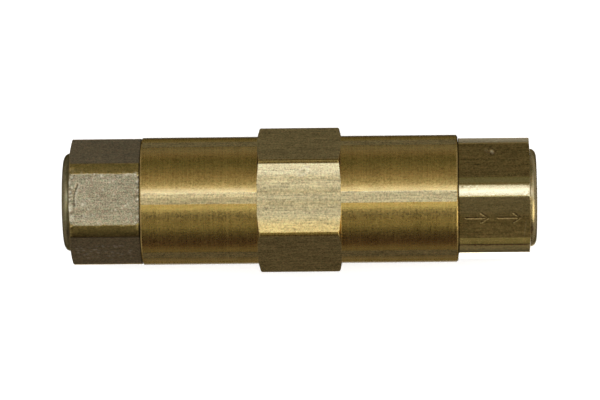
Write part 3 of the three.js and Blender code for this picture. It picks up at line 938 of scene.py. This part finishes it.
        # painted shade on the corner below the scuffed flat, darker further round
        low_corner = (which == 5) & (rel > 23.5) | (which == 0) & (rel < -23.9)
        run = smooth(-24.6, -36.0, ((t - turn + 180) % 360) - 180)
        mark = mark - np.where(low_corner, 0.36 + 0.18 * run + 0.06 * noise(u * 0.9, t * 0.5, 0, 83), 0)
        # the outer chamfer is battered where the scuffed flat meets it
        batter = 0.5 + 0.5 * noise(across * 2.3, u * 1.2, 0, 76) + 0.35 * noise(across * 5.1, u * 2.0, 0, 77)
        near = (which == 0) & (rt > BOSS_R + 0.3)
        rt = rt - np.where(near & (u > 27.8), 0.16 * np.clip(batter, 0, 1.2) * smooth(27.8, 28.5, u), 0)
        rt = rt - np.where(near & (u < 20.5), 0.10 * np.clip(batter, 0, 1.2) * smooth(20.35, 19.9, u), 0)
    r = np.where(rt < ADAPTER_AF / 2 - 0.12, rt, smin(rt, d, 0.07))
    flat = (d < rt).astype(float) * (rt > ADAPTER_AF / 2 - 0.05)
    fq = flat[:-1] + flat[1:]
    fq = fq + np.roll(fq, -1, axis=1)
    mat = np.where(fq >= 2.5, 1, 0)
    if inlet:
        wq = which[:-1]
        wq = np.where(np.roll(wq, -1, axis=1) == 0, wq, 9)
        mat = np.where((mat == 1) & (wq == 0), 3, mat)
    else:
        mat = np.where((mat == 0) & (rt[:-1] > BOSS_R + 0.1), 3, mat)
        # painted highlight on the lower flat's upper part and on the upper flat's lower edge; painted shade along the
        # lower flat's lower edge
        mark = mark + np.where(which == 5, 0.16 * smooth(0.2, 1.6, across) - 0.10 * smooth(-2.3, -2.7, across), 0)
        mark = mark + np.where(which == 0, 0.35 * smooth(-2.1, -2.4, across) * (rt > ADAPTER_AF / 2 + 0.02), 0)
        # painted shade on the upper part of the turned land between the two flats
        turned_off = (t + 180) % 360 - 180
        mark = np.where((turned_off > 4) & (turned_off < 11.4), -0.25 * smooth(5.0, 9.0, turned_off) + np.minimum(mark, 0), mark)
        # the lower edges of flats 0 and 5, and the turned land above flat 0, take the paler strip brass, its paler
        # colour a painted highlight; flat 4 takes the burnished brass
        strip = across[:-1] < np.where(which[:-1] == 5, -2.52, -2.27)
        strip = (strip | (which[:-1] == 4)) & (rt[:-1] > BOSS_R + 0.3)
        mat = np.where((mat == 1) & strip, np.where(which[:-1] == 4, 3, 5), mat)
        mat = np.where((mat == 3) & (turned_off[:-1] > 50) & (turned_off[:-1] < 78), 5, mat)
    mat = np.where((mat != 1) & (u[:-1] > ADAPTER_HEX_END - chamfer + 0.01) & (rt[:-1] < ADAPTER_AF / 2 - 0.05), 4, mat)
    # the painted light and the wear belong to the flats and corners, and fade out across the end face
    face = smooth(ADAPTER_AF / 2 - 0.10, ADAPTER_AF / 2 - 0.35, rt) * (u > 28.0)
    mark = mark * (1 - face)
    # painted reflection on each adapter's first flat: painted grey across it, a painted cream highlight along its upper
    # edge and a painted gold highlight along its lower; only the inlet's scuffed flat shows it
    die = noise(across * 1.6, u * 0.08, 0, 17)
    dull = np.where(which == 0, 0.9 + 0.1 * die, 0.15)
    cream = np.where(which == 0, 0.10 + 0.10 * die + 0.35 * smooth(3.0, 3.35, across), 0.0)
    gold = np.where(which == 0, 0.30 * smooth(-1.8, -3.0, across), 0.0)
    b = Build()
    idx = b.grid(place(side * u, r, t), mat=mat, tags={"dull": dull, "cream": cream, "gold": gold, "mark": mark})
    # port mouth, pipe thread, flow bore, core thread, spigot and its seal groove
    ti = np.linspace(0, 360, 120, endpoint=False)

    def minor(v):
        return 4.37 - (E - v) / 32

    bottom = 21.0
    nt = int((E - 0.5 - bottom - 0.4) / NPT_PITCH * 13)
    port_x = np.linspace(E - 0.55, bottom + 0.45, nt)
    inner = np.concatenate(
        [
            fillet([(E, 5.20), (E - 0.04, 5.15, 0.03), (E - 0.55, minor(E - 0.55) + 0.28)], 3)[:-1],
            np.stack([port_x, minor(port_x)], 1),
            fillet(
                [
                    (bottom + 0.42, minor(bottom)),
                    (bottom + 0.0, minor(bottom) + 0.02, 0.15),
                    (19.9, 2.3, 0.12),
                    (16.6, 2.3, 0.06),
                    (16.6, 4.45, 0.10),
                    (16.35, 4.5),
                ],
                3,
            ),
        ]
    )
    ns = int(4.0 / 0.75 * 10)
    socket_x = np.linspace(16.25, 12.35, ns)
    inner = np.concatenate(
        [
            inner,
            np.stack([socket_x, np.full(ns, 4.12)], 1),
            fillet(
                [
                    (12.2, 4.2),
                    (11.9, 4.62, 0.05),
                    (11.9, 6.2, 0.05),
                    (12.15, 6.45, 0.08),
                    (17.0, 6.45, 0.08),
                    (17.0, 5.42, 0.15),
                    (19.2, 5.42, 0.15),
                    (19.2, 6.45, 0.08),
                    (19.72, 6.45, 0.05),
                    (19.78, 6.40, 0.05),
                    (ADAPTER_FACE, 6.46, 0.05),
                    (ADAPTER_FACE, 6.75),
                ],
                3,
            ),
        ]
    )
    xi, ri, tt = np.broadcast_arrays(inner[:, :1], inner[:, 1:2], ti[None, :])
    in_port = (xi <= port_x[0] + 1e-6) & (xi >= port_x[-1] - 1e-6)
    # the mouth's countersink runs the first thread out, and the last ones fade at the bottom
    amount = smooth(bottom + 0.2, bottom + 1.6, xi)
    sx = side * xi
    cone = 4.37 + 0.72 - (E - xi) / 32
    port_r = ri + 0.66 * amount * thread(sx, tt, NPT_PITCH)
    sink = 5.15 - np.maximum(E - 0.04 - xi, 0) * 0.9
    port_r = np.maximum(port_r, sink)
    ri = np.where(in_port, np.minimum(port_r, np.maximum(cone, sink)), ri)
    in_socket = (xi <= socket_x[0] + 1e-6) & (xi >= socket_x[-1] - 1e-6) & (ri < 4.3)
    ri = np.where(in_socket, ri + 0.40 * thread(sx, tt, 0.75), ri)
    idi = b.grid(place(sx, ri, tt), mat=2)
    b.bridge(idx[-1], th, idi[0], ti, 0)
    b.bridge(idx[0], th, idi[-1], ti, 0)
    name = "inlet_adapter" if inlet else "outlet_adapter"
    if inlet:
        mats = [TURNED_INLET, DRAWN_INLET, BORE, SCUFFED, BOSS_INLET]
    else:
        mats = [BURNISHED, DRAWN_OUTLET, BORE, BURNISHED, BOSS_OUTLET, BURNISHED_SHEEN_STRIP]
    o = finish_mesh(name + "_fine", b, mats)
    return put(o, name, "line_body")


make_barrel()
make_adapter(-1)
make_adapter(1)


# ------------------------------------------------------------------ seals, back-up rings, washers


def make_o_ring(name, x0, rm, hx, hr, node):
    """A seal ring, a little flattened where it is squeezed, with the faint ridge its mould leaves."""
    q = np.linspace(0, 2 * math.pi, 36, endpoint=False)
    cx = np.sign(np.cos(q)) * np.abs(np.cos(q)) ** 0.85
    cr = np.sign(np.sin(q)) * np.abs(np.sin(q)) ** 0.85
    ridge = 1 + 0.012 * np.exp(-(((np.mod(q, math.pi) - math.pi / 2) / 0.06) ** 2))
    th = np.linspace(0, 360, 160, endpoint=False)
    x = x0 + hx * (cx * ridge)[:, None] + 0 * th[None, :]
    r = rm + hr * cr[:, None] + 0 * th[None, :]
    r = r + 0.004 * noise(x * 3, th[None, :] * 0.1, 0.0, 3)
    b = Build()
    b.grid(place(x, r, th[None, :]), close=True)
    o = finish_mesh(name, b, [RUBBER])
    return put(o, node, "line_body")


def make_split_ring(name, x0, x1, r0, r1, node, at):
    """A PTFE back-up ring with a slanted cut through it, so that it can be sprung into its groove."""
    prof = fillet([(x0, r0, 0.05), (x0, r1, 0.05), (x1, r1, 0.05), (x1, r0, 0.05)], 3)
    x, r = prof[:, :1], prof[:, 1:2]
    slant = (x - (x0 + x1) / 2) * 14
    span = np.linspace(0, 1, 150)[None, :]
    t = at + slant + 0.5 + span * 359.0
    b = Build()
    idx = b.grid(place(x + 0 * span, r + 0 * span, t), wrap=False, close=True)
    for col in (0, -1):
        ring = idx[:, col]
        pts = np.concatenate(b.v)[ring]
        b.cap(ring, pts.mean(0))
    o = finish_mesh(name, b, [PTFE])
    return put(o, node, "line_body")


def make_washer(name, x0, x1, r0, r1, node, mats, edge=0.05, cols=180, wave=0.0):
    loop = [(x0, r0, edge), (x0, r1, edge), (x1, r1, edge), (x1, r0, edge)]
    prof = fillet(loop, 3)
    th = np.linspace(0, 360, cols, endpoint=False)
    x, r, t = np.broadcast_arrays(prof[:, :1], prof[:, 1:2], th[None, :])
    if wave:
        x = x + wave * np.sin(3 * t * RAD)
    b = Build()
    b.grid(place(x, r, t), close=True)
    o = finish_mesh(name, b, mats)
    return put(o, node, "line_body")


for end, s in (("inlet", -1), ("outlet", 1)):
    make_o_ring(end + "_o_ring_fine", s * 17.7, 5.96, 0.58, 0.5, end + "_o_ring")
    make_split_ring(
        end + "_backup_ring_fine", s * 18.33, s * 19.14, 5.47, 6.45, end + "_backup_ring", 70 if s > 0 else 250
    )
    make_washer(
        end + "_thrust_washer_fine", s * 19.17, s * 19.83, 6.54, 7.08, end + "_thrust_washer", [FILLED_PTFE], 0.04
    )

make_o_ring("seat_o_ring_fine", 16.18, 3.3, 0.38, 0.5, "seat_o_ring")
make_washer("spring_seat_washer_fine", -16.57, -16.15, 2.36, 4.0, "spring_seat_washer", [STEEL], 0.06, 120)


# ------------------------------------------------------------------ core tube


def make_core():
    cols = 144
    th = np.linspace(0, 360, cols, endpoint=False)
    parts = []
    n_in, n_out = int(3.6 / 0.75 * 10), int(2.1 / 0.75 * 10)
    left = np.linspace(-15.85, -12.15, n_in)
    right = np.linspace(12.15, 14.35, n_out)
    parts.append(fillet([(-16.1, 3.4), (-16.1, 3.95, 0.04), (-15.95, 4.08)], 3))
    parts.append(np.stack([left, np.full(n_in, 4.08)], 1))
    parts.append(
        fillet(
            [(-12.05, 4.0), (-11.85, 4.0, 0.05), (-11.85, 4.68, 0.04), (-11.78, 4.75, 0.04),
             (11.78, 4.75, 0.04), (11.85, 4.68, 0.04), (11.85, 4.0, 0.05), (12.05, 4.0)], 3
        )
    )
    parts.append(np.stack([right, np.full(n_out, 4.08)], 1))
    parts.append(fillet([(14.45, 4.08), (14.6, 3.95, 0.04), (14.6, 3.4), (14.6, 3.32, 0.04), (14.5, 3.2, 0.05)], 3))
    parts.append(fillet([(9.85, 3.2), (8.3, 3.2), (-16.0, 3.2, 0.05), (-16.1, 3.3, 0.04)], 3))
    prof = np.concatenate(parts)
    prof = densify(prof, lambda x, r: 1.2)
    x, r, t = np.broadcast_arrays(prof[:, :1], prof[:, 1:2], th[None, :])
    on = (np.abs(x) > 12.1) & (r > 4.05) & (r < 4.2)
    fade = smooth(16.05, 15.4, -x) * smooth(14.6, 14.0, x)
    r = r + np.where(on, 0.38 * fade * thread(x, t, 0.75), 0)
    b = Build()
    b.grid(place(x, r, t), close=True)
    o = finish_mesh("core_tube_fine", b, [TURNED])
    # the pin's slots, one cutter through both walls
    s = Build()
    w = []
    x0, x1, rad = PIN_X - 3.7, PIN_X + 0.1, 1.1
    for q in np.linspace(-90, 90, 25):
        w.append((x1 + rad * math.cos(q * RAD), rad * math.sin(q * RAD), x1))
    for q in np.linspace(90, 270, 25):
        w.append((x0 + rad * math.cos(q * RAD), rad * math.sin(q * RAD), x0))
    outline = np.array(w)
    rows = []
    for y, grow in ((-7, 0.0), (-4.83, 0.0), (-4.73, 0.0), (0, 0.0), (4.73, 0.0), (4.83, 0.0), (7, 0.0)):
        cx = outline[:, 2]
        ux, uz = outline[:, 0] - cx, outline[:, 1]
        k = (rad + grow) / rad
        rows.append(np.stack([cx + ux * k, np.full(len(cx), float(y)), uz * k], 1))
    idx = s.grid(np.array(rows))
    s.cap(idx[0], ((x0 + x1) / 2, -7, 0))
    s.cap(idx[-1], ((x0 + x1) / 2, 7, 0))
    cut(o, [cutter("slot_cutter", s)])
    return put(o, "core_tube", "line_body")


make_core()


# ------------------------------------------------------------------ needle guide and seat


def make_guide():
    o = lathe(
        "needle_guide_fine",
        [
            (8.35, 1.62, 0.05), (8.35, 3.09, 0.05), (8.42, 3.16, 0.04), (9.68, 3.16, 0.04),
            (9.75, 3.09, 0.05), (9.75, 1.62, 0.05), (9.69, 1.56, 0.04), (8.41, 1.56, 0.04),
        ],
        120,
        [BRONZE],
        3,
    )
    cutters = []
    for i in range(4):
        a = (i + 0.5) * math.pi / 2
        cutters.append(
            rod_cutter(0.55, (9.05, 2.36 * math.cos(a), 2.36 * math.sin(a)), (1, 0, 0), 2.0, 40, 0.06, (0.7,))
        )
    cut(o, cutters)
    return put(o, "needle_guide", "line_body")


make_guide()
seat = lathe(
    "seat_insert_fine",
    [
        (14.63, 1.92, 0.05), (14.63, 3.9, 0.04), (14.78, 4.05, 0.04), (16.52, 4.05, 0.04), (16.57, 4.0, 0.03),
        (16.57, 3.85, 0.03), (15.77, 3.85, 0.10), (15.77, 2.75, 0.10), (16.57, 2.75, 0.04),
        (16.57, 1.3, 0.04), (16.47, 1.2, 0.04), (15.22, 1.2, 0.015),
    ],
    144,
    [POLISHED],
    3,
)
put(seat, "seat_insert", "line_body")


# ------------------------------------------------------------------ spring


def make_spring():
    """A round-wire coil with closed ends ground square."""
    wire, mean, x_lo, x_hi, active = 0.25, 2.72, -16.12, -1.96, 7.6
    turns = active + 2
    steps = int(turns * 40)
    n = np.linspace(0, turns, steps + 1)
    end_pitch = 0.46
    x0, x1 = x_lo + wire - 0.06, x_hi - wire + 0.06
    span = x1 - x0 - 2 * end_pitch
    along = np.where(
        n < 1, x0 + end_pitch * n, np.where(n > turns - 1, x1 - end_pitch * (turns - n), x0 + end_pitch + span * (n - 1) / active)
    )
    # soften the change of pitch where the end turns lift off
    kernel = np.hanning(23)
    kernel /= kernel.sum()
    padded = np.concatenate([along[0] - (along[1] - along[0]) * np.arange(11, 0, -1), along, along[-1] + (along[-1] - along[-2]) * np.arange(1, 12)])
    along = np.convolve(padded, kernel, "valid")
    a = n * 2 * math.pi
    centre = np.stack([along, mean * np.cos(a), mean * np.sin(a)], 1)
    tangent = np.gradient(centre, axis=0)
    tangent /= np.linalg.norm(tangent, axis=1, keepdims=True)
    radial = np.stack([np.zeros_like(a), np.cos(a), np.sin(a)], 1)
    radial -= tangent * (radial * tangent).sum(1, keepdims=True)
    radial /= np.linalg.norm(radial, axis=1, keepdims=True)
    bi = np.cross(tangent, radial)
    q = np.linspace(0, 2 * math.pi, 20, endpoint=False)
    p = centre[:, None] + wire * (radial[:, None] * np.cos(q)[None, :, None] + bi[:, None] * np.sin(q)[None, :, None])
    p[..., 0] = np.clip(p[..., 0], x_lo + 0.02, x_hi - 0.02)
    b = Build()
    idx = b.grid(p)
    b.cap(idx[0], p[0].mean(0))
    b.cap(idx[-1], p[-1].mean(0))
    o = finish_mesh("anti_backlash_spring_fine", b, [WIRE])
    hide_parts("anti_backlash_spring")
    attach(o, "line_body")
    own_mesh(o)
    return o


make_spring()


# ------------------------------------------------------------------ needle train


def make_follower():
    x0, x1 = PIN_X - 3, PIN_X + 3
    n = int(5.2 / PITCH * 14)
    body = np.linspace(x0 + 0.4, x1 - 0.4, n)
    prof = np.concatenate(
        [
            fillet([(x0, 4.95), (x0, 5.72, 0.05), (x0 + 0.3, 5.96)], 3),
            np.stack([body, np.full(n, 5.96)], 1),
            fillet([(x1 - 0.3, 5.96), (x1, 5.72, 0.05), (x1, 4.95, 0.04), (x1 - 0.1, 4.85, 0.04), (x0 + 0.1, 4.85, 0.04), (x0, 4.95, 0.04)], 3)[:-1],
        ]
    )
    th = np.linspace(0, 360, 160, endpoint=False)
    x, r, t = np.broadcast_arrays(prof[:, :1], prof[:, 1:2], th[None, :])
    on = (r > 5.9) & (x > x0 + 0.35) & (x < x1 - 0.35)
    fade = smooth(x0 + 0.3, x0 + 0.9, x) * smooth(x1 - 0.3, x1 - 0.9, x)
    r = r + np.where(on, 0.44 * fade * thread(x, t, PITCH), 0)
    b = Build()
    b.grid(place(x, r, t), close=True)
    o = finish_mesh("follower_nut_fine", b, [BRONZE])
    cut(o, [rod_cutter(1.04, (PIN_X, 0, 0), (0, 1, 0), 9, 64)])
    return put(o, "follower_nut", "needle_train")


def make_carrier():
    x0, x1 = -1.9, 6.1
    outer = fillet([(x0, 2.6), (x0, 2.95, 0.05), (x0 + 0.17, 3.12, 0.05), (x1 - 0.17, 3.12, 0.05), (x1, 2.95, 0.05), (x1, 1.75)], 3)
    outer = densify(outer, lambda x, r: 0.5)
    n = int(2.6 / 0.5 * 10)
    hole = np.linspace(x1 - 0.2, x1 - 2.8, n)
    prof = np.concatenate([outer, [[x1, 1.62], [x1 - 0.15, 1.5]], np.stack([hole, np.full(n, 1.26)], 1), [[x1 - 2.95, 1.26]]])
    th = angles(2.5, [45 + 90 * k + s * math.degrees(math.acos(2.5 / 3.12)) for k in range(4) for s in (-1, 1)], (0.4, 1.0))
    x, r, t = np.broadcast_arrays(prof[:, :1], prof[:, 1:2], th[None, :])
    rel, _ = from_flat(t, 45, 4)
    d = 2.5 / np.cos(rel * RAD)
    r = np.where(r > 2.2, smin(r, d, 0.08), r)
    in_hole = (r < 1.4) & (x < x1 - 0.15)
    r = np.where(in_hole, r + 0.28 * thread(x, t, 0.5), r)
    b = Build()
    idx = b.grid(place(x, r, t))
    b.cap(idx[0], (x0, 0, 0))
    b.cap(idx[-1], (x1 - 3.3, 0, 0))
    o = finish_mesh("needle_carrier_fine", b, [TURNED])
    cut(o, [rod_cutter(1.01, (PIN_X, 0, 0), (0, 1, 0), 9, 64)])
    return put(o, "needle_carrier", "needle_train")


def make_pin():
    half, rad = 5.95, 0.98
    prof = fillet([(-half, 0.12), (-half, rad - 0.17, 0.12), (-half + 0.2, rad, 0.08), (half - 0.2, rad, 0.08), (half, rad - 0.17, 0.12), (half, 0.12)], 5)
    prof = densify(prof, lambda x, r: 1.0)
    th = np.linspace(0, 360, 64, endpoint=False)
    x, r, t = np.broadcast_arrays(prof[:, :1], prof[:, 1:2], th[None, :])
    p = place(x, r, t)
    p = np.stack([PIN_X + p[..., 1], p[..., 0], p[..., 2]], -1)
    b = Build()
    idx = b.grid(p)
    b.cap(idx[0], (PIN_X, -half, 0))
    b.cap(idx[-1], (PIN_X, half, 0))
    o = finish_mesh("drive_pin_fine", b, [POLISHED])
    return put(o, "drive_pin", "needle_train")


def make_needle():
    slope = math.tan(12 * RAD)

    def cone(r):
        return 15.2 + (1.12 - r) / slope

    n = int(4.4 / 0.5 * 12)
    body = np.linspace(3.75, 8.0, n)
    prof = np.concatenate(
        [
            fillet([(3.4, 0.25), (3.4, 1.0, 0.06), (3.62, 1.2)], 3),
            np.stack([body, np.full(n, 1.2)], 1),
            fillet([(8.1, 1.2), (8.2, 1.2, 0.05), (8.2, 1.44, 0.03), (8.26, 1.5, 0.04), (cone(1.5), 1.5, 0.4), (cone(0.3), 0.3, 0.12), (cone(0.3) + 0.17, 0.08)], 5),
        ]
    )
    prof = densify(prof, lambda x, r: 0.6)
    th = np.linspace(0, 360, 96, endpoint=False)
    x, r, t = np.broadcast_arrays(prof[:, :1], prof[:, 1:2], th[None, :])
    on = (x > 3.7) & (x < 8.05)
    fade = smooth(3.6, 4.2, x) * smooth(8.05, 7.5, x)
    r = r + np.where(on, 0.27 * fade * thread(x, t, 0.5), 0)
    b = Build()
    idx = b.grid(place(x, r, t), mat=np.where(prof[:-1, :1] < 8.15, 1, 0))
    b.cap(idx[0], (3.4, 0, 0), 1)
    b.cap(idx[-1], (cone(0.3) + 0.19, 0, 0))
    o = finish_mesh("needle_fine", b, [POLISHED, STEEL])
    return put(o, "needle", "needle_train")


def make_nut():
    x0, x1, af = 6.15, 8.1, 5.0
    n = int(1.5 / 0.5 * 12)
    hole = np.linspace(x1 - 0.22, x0 + 0.22, n)
    prof = np.concatenate(
        [
            fillet([(x0, 1.8), (x0, 2.42, 0.04), (x0 + 0.24, 2.86, 0.06), (x1 - 0.24, 2.86, 0.06), (x1, 2.42, 0.04), (x1, 1.8), (x1 - 0.02, 1.58, 0.03)], 3),
            np.stack([hole, np.full(n, 1.26)], 1),
            [[x0 + 0.02, 1.58]],
        ]
    )
    prof = densify(prof, lambda x, r: 0.08 if r > 2.4 else 0.5)
    edge = math.degrees(math.acos(af / 2 / 2.86))
    th = angles(2.5, [60 * k + s * edge for k in range(6) for s in (-1, 1)], (0.4, 1.0))
    x, r, t = np.broadcast_arrays(prof[:, :1], prof[:, 1:2], th[None, :])
    rel, _ = from_flat(t, 0)
    d = af / 2 / np.cos(rel * RAD)
    r = np.where(r > 2.2, smin(r, d, 0.05), r)
    r = np.where(r < 1.4, r + 0.28 * thread(x, t, 0.5), r)
    b = Build()
    b.grid(place(x, r, t), close=True)
    o = finish_mesh("needle_lock_nut_fine", b, [STEEL])
    return put(o, "needle_lock_nut", "needle_train")


make_follower()
make_carrier()
make_pin()
make_needle()
make_nut()

# ------------------------------------------------------------------ camera, floor and light

scene = bpy.context.scene
scene.view_settings.view_transform = "Standard"
scene.view_settings.look = "None"
scene.view_settings.exposure = 0.0
scene.view_settings.gamma = 1.0

PX = 0.12528  # mm on the object's axis for one column of the 600 wide frame
REACH = 617.0
TILT, YAW, ROLL = 2.2, -1.2, 0.58  # degrees

back = Vector((-math.sin(YAW * RAD), -math.sin(TILT * RAD), 1.0)).normalized()
right = Vector((math.cos(ROLL * RAD), -math.sin(ROLL * RAD), 0.0))
right = (right - back * right.dot(back)).normalized()
up = back.cross(right)
aim = (right * (300 - 300.05) + up * (199.9 - 200)) * PX * MM
cam_data = bpy.data.cameras.new("camera")
cam_data.sensor_width = 36.0
cam_data.lens = 36.0 * REACH / (600 * PX)
cam_data.clip_start, cam_data.clip_end = 0.01, 10.0
cam_data.dof.use_dof = False
camera = bpy.data.objects.new("camera", cam_data)
scene.collection.objects.link(camera)
rot = Matrix((right, up, back)).transposed().to_4x4()
camera.matrix_world = Matrix.Translation(aim + back * REACH * MM) @ rot
scene.camera = camera

# a pale floor under the valve's lowest flat; the metal mirrors the dim room, not the floor
floor_mesh = bpy.data.meshes.new("floor")
b = bmesh.new()
bmesh.ops.create_circle(b, cap_ends=True, cap_tris=False, segments=96, radius=6.0)
b.to_mesh(floor_mesh)
b.free()
floor = bpy.data.objects.new("floor", floor_mesh)
floor.location.z = cad_box[0][2]
scene.collection.objects.link(floor)
n = Nodes("pale_floor")
soft = n.noise(None, 0.012, 3.0, 0.5)
floor_mat = n.done(n.mix(n.remap(soft, 0.3, 0.7, 0, 1), (0.86, 0.86, 0.86), (0.90, 0.90, 0.895)), 0.85, 0.0, Emission_Strength=0.42)
for socket in floor_mat.node_tree.nodes:
    if socket.type == "BSDF_PRINCIPLED":
        socket.inputs["Emission Color"].default_value = (1, 1, 1, 1)
floor_mesh.materials.append(floor_mat)
floor.visible_glossy = False


def panel(name, where, size, radiance, colour=(1, 1, 1), target=(0, 0, 0), glossy=True, diffuse=True):
    """A soft rectangular light that faces target. radiance is what a mirror would show of it."""
    data = bpy.data.lights.new(name, "AREA")
    data.shape = "RECTANGLE"
    data.size, data.size_y = size
    data.energy = radiance * math.pi * size[0] * size[1]
    data.color = colour
    o = bpy.data.objects.new(name, data)
    scene.collection.objects.link(o)
    z = (Vector(where) - Vector(target)).normalized()
    x = Vector((1, 0, 0))
    if abs(z.dot(x)) > 0.9:
        x = Vector((0, 1, 0))
    x = (x - z * z.dot(x)).normalized()
    o.matrix_world = Matrix.Translation(where) @ Matrix((x, z.cross(x), z)).transposed().to_4x4()
    o.visible_glossy = glossy
    o.visible_diffuse = diffuse
    return o


def at(angle, reach=1.0):
    """A point over the object, angle degrees from straight up towards +Y."""
    return (0.0, reach * math.sin(angle * RAD), reach * math.cos(angle * RAD))


# the panels light the floor and the seals; what the metal mirrors is the studio below
panel("key", at(14.0), (1.3, 0.5), 1.4, (1.0, 0.99, 0.97), glossy=False)
panel("end_right", (1.0, -0.35, 0.55), (0.5, 0.5), 1.2, (1.0, 0.99, 0.97), glossy=False)
panel("end_left", (-1.0, -0.30, 0.50), (0.5, 0.5), 1.2, (1.0, 0.99, 0.97), glossy=False)

world = bpy.data.worlds.new("studio")
scene.world = world
world.use_nodes = True
wt = world.node_tree
wt.nodes.clear()

# What polished metal mirrors of the studio, by the angle round the row's long axis: degrees from
# straight up towards +Y, then linear red, green and blue. A soft box hangs overhead, the room's
# sides are dim, and the pale table shows from straight below.
ENV = [
    (-166, 2.700, 2.700, 2.600), (-154, 0.330, 0.300, 0.250), (-139, 0.351, 0.343, 0.440),
    (-127, 0.068, 0.058, 0.030), (-115, 0.075, 0.067, 0.048), (-104, 0.191, 0.165, 0.099),
    (-92, 0.058, 0.029, 0.014), (-80, 0.029, 0.012, 0.003), (-68, 0.038, 0.025, 0.007),
    (-57, 0.074, 0.067, 0.016), (-47, 0.195, 0.178, 0.085), (-37, 0.146, 0.118, 0.038),
    (-28, 0.039, 0.043, 0.040), (-21, 0.189, 0.162, 0.080), (-15, 0.953, 1.004, 0.730),
    (-9, 0.441, 0.320, 0.062), (2, 0.800, 0.800, 0.780), (11, 1.522, 1.705, 1.979),
    (17, 1.230, 1.274, 1.367), (23, 0.526, 0.456, 0.339), (30, 0.251, 0.264, 0.143),
    (38, 0.315, 0.260, 0.173), (49, 0.165, 0.137, 0.057), (58, 0.137, 0.126, 0.061),
    (78, 0.082, 0.079, 0.026), (90, 0.176, 0.142, 0.086), (104, 0.215, 0.213, 0.183),
    (118, 0.085, 0.078, 0.058), (133, 0.281, 0.300, 0.330), (150, 0.300, 0.285, 0.250),
    (165, 0.540, 0.500, 0.430), (177, 1.800, 1.700, 1.550),
]


def world_node(kind, **settings):
    node = wt.nodes.new(kind)
    for k, v in settings.items():
        setattr(node, k, v)
    return node


def world_math(op, a, b=None):
    node = world_node("ShaderNodeMath", operation=op)
    for socket, v in zip(node.inputs, (a, b)):
        if isinstance(v, (int, float)):
            socket.default_value = v
        elif v is not None:
            wt.links.new(v, socket)
    return node.outputs[0]


def world_range(v, a, b, c, d, kind="LINEAR"):
    node = world_node("ShaderNodeMapRange", interpolation_type=kind)
    wt.links.new(v, node.inputs["Value"])
    for k, q in zip(("From Min", "From Max", "To Min", "To Max"), (a, b, c, d)):
        node.inputs[k].default_value = q
    return node.outputs[0]


def world_ramp(fac, stops, interpolation="LINEAR"):
    node = world_node("ShaderNodeValToRGB")
    cr = node.color_ramp
    cr.interpolation = interpolation
    cr.elements[0].position, cr.elements[1].position = 0.0, 1.0
    while len(cr.elements) < len(stops):
        cr.elements.new(0.5)
    for e, (pos, r, g, b) in zip(cr.elements, stops):
        e.position = pos
    for e, (pos, r, g, b) in zip(cr.elements, stops):
        e.color = (r, g, b, 1)
    wt.links.new(fac, node.inputs[0])
    return node.outputs[0]


w_out = world_node("ShaderNodeOutputWorld")
path = world_node("ShaderNodeLightPath")
sep = world_node("ShaderNodeSeparateXYZ")
wt.links.new(world_node("ShaderNodeTexCoord").outputs["Generated"], sep.inputs[0])
wx, wy, wz = sep.outputs
turn_angle = world_math("ARCTAN2", wy, wz)
main_env = world_ramp(
    world_range(turn_angle, -math.pi, math.pi, 0, 1), [((a + 180) / 360, r, g, b) for a, r, g, b in ENV]
)
# towards the two ends the studio is paler, so that the end faces and port mouths are lit
side_env = world_ramp(
    world_range(wz, -1, 1, 0, 1),
    [
        (0.00, 0.16, 0.15, 0.12), (0.14, 0.20, 0.185, 0.15), (0.28, 0.40, 0.38, 0.34), (0.46, 0.26, 0.245, 0.21),
        (0.52, 0.22, 0.205, 0.17), (0.60, 0.30, 0.28, 0.24), (0.72, 0.68, 0.67, 0.63), (0.84, 0.95, 0.95, 0.92),
        (1.00, 0.72, 0.71, 0.67),
    ],
    "EASE",
)
off_axis = world_math("ABSOLUTE", wx)
below = world_range(wz, -0.25, -0.75, 0, 1)
near_end = world_range(off_axis, 0.34, 0.80, 0, 1, "SMOOTHSTEP")
low_end = world_range(off_axis, 0.12, 0.38, 0, 1, "SMOOTHSTEP")
endness = world_math("ADD", near_end, world_math("MULTIPLY", world_math("SUBTRACT", low_end, near_end), below))
env_mix = world_node("ShaderNodeMix", data_type="RGBA")
wt.links.new(endness, env_mix.inputs[0])
wt.links.new(main_env, env_mix.inputs[6])
wt.links.new(side_env, env_mix.inputs[7])
# a small warm lamp low on the outlet's side
towards = Vector((0.74, -0.47, 0.48)).normalized()
lamp = world_math("ADD", world_math("MULTIPLY", wx, towards.x), world_math("MULTIPLY", wy, towards.y))
lamp = world_math("ADD", lamp, world_math("MULTIPLY", wz, towards.z))
lamp = world_range(lamp, 0.90, 0.985, 0, 1, "SMOOTHSTEP")
lamp_mix = world_node("ShaderNodeMix", data_type="RGBA")
wt.links.new(lamp, lamp_mix.inputs[0])
wt.links.new(env_mix.outputs[2], lamp_mix.inputs[6])
lamp_mix.inputs[7].default_value = (2.3, 2.1, 1.5, 1)
room = world_node("ShaderNodeBackground")
wt.links.new(lamp_mix.outputs[2], room.inputs[0])
pale = world_node("ShaderNodeBackground")
pale.inputs[0].default_value, pale.inputs[1].default_value = (1, 1, 1, 1), 1.0
fill = world_node("ShaderNodeBackground")
fill.inputs[0].default_value, fill.inputs[1].default_value = (1, 1, 1, 1), 1.0
m1, m2 = world_node("ShaderNodeMixShader"), world_node("ShaderNodeMixShader")
wt.links.new(path.outputs["Is Camera Ray"], m1.inputs[0])
wt.links.new(fill.outputs[0], m1.inputs[1])
wt.links.new(pale.outputs[0], m1.inputs[2])
wt.links.new(path.outputs["Is Glossy Ray"], m2.inputs[0])
wt.links.new(m1.outputs[0], m2.inputs[1])
wt.links.new(room.outputs[0], m2.inputs[2])
wt.links.new(m2.outputs[0], w_out.inputs["Surface"])
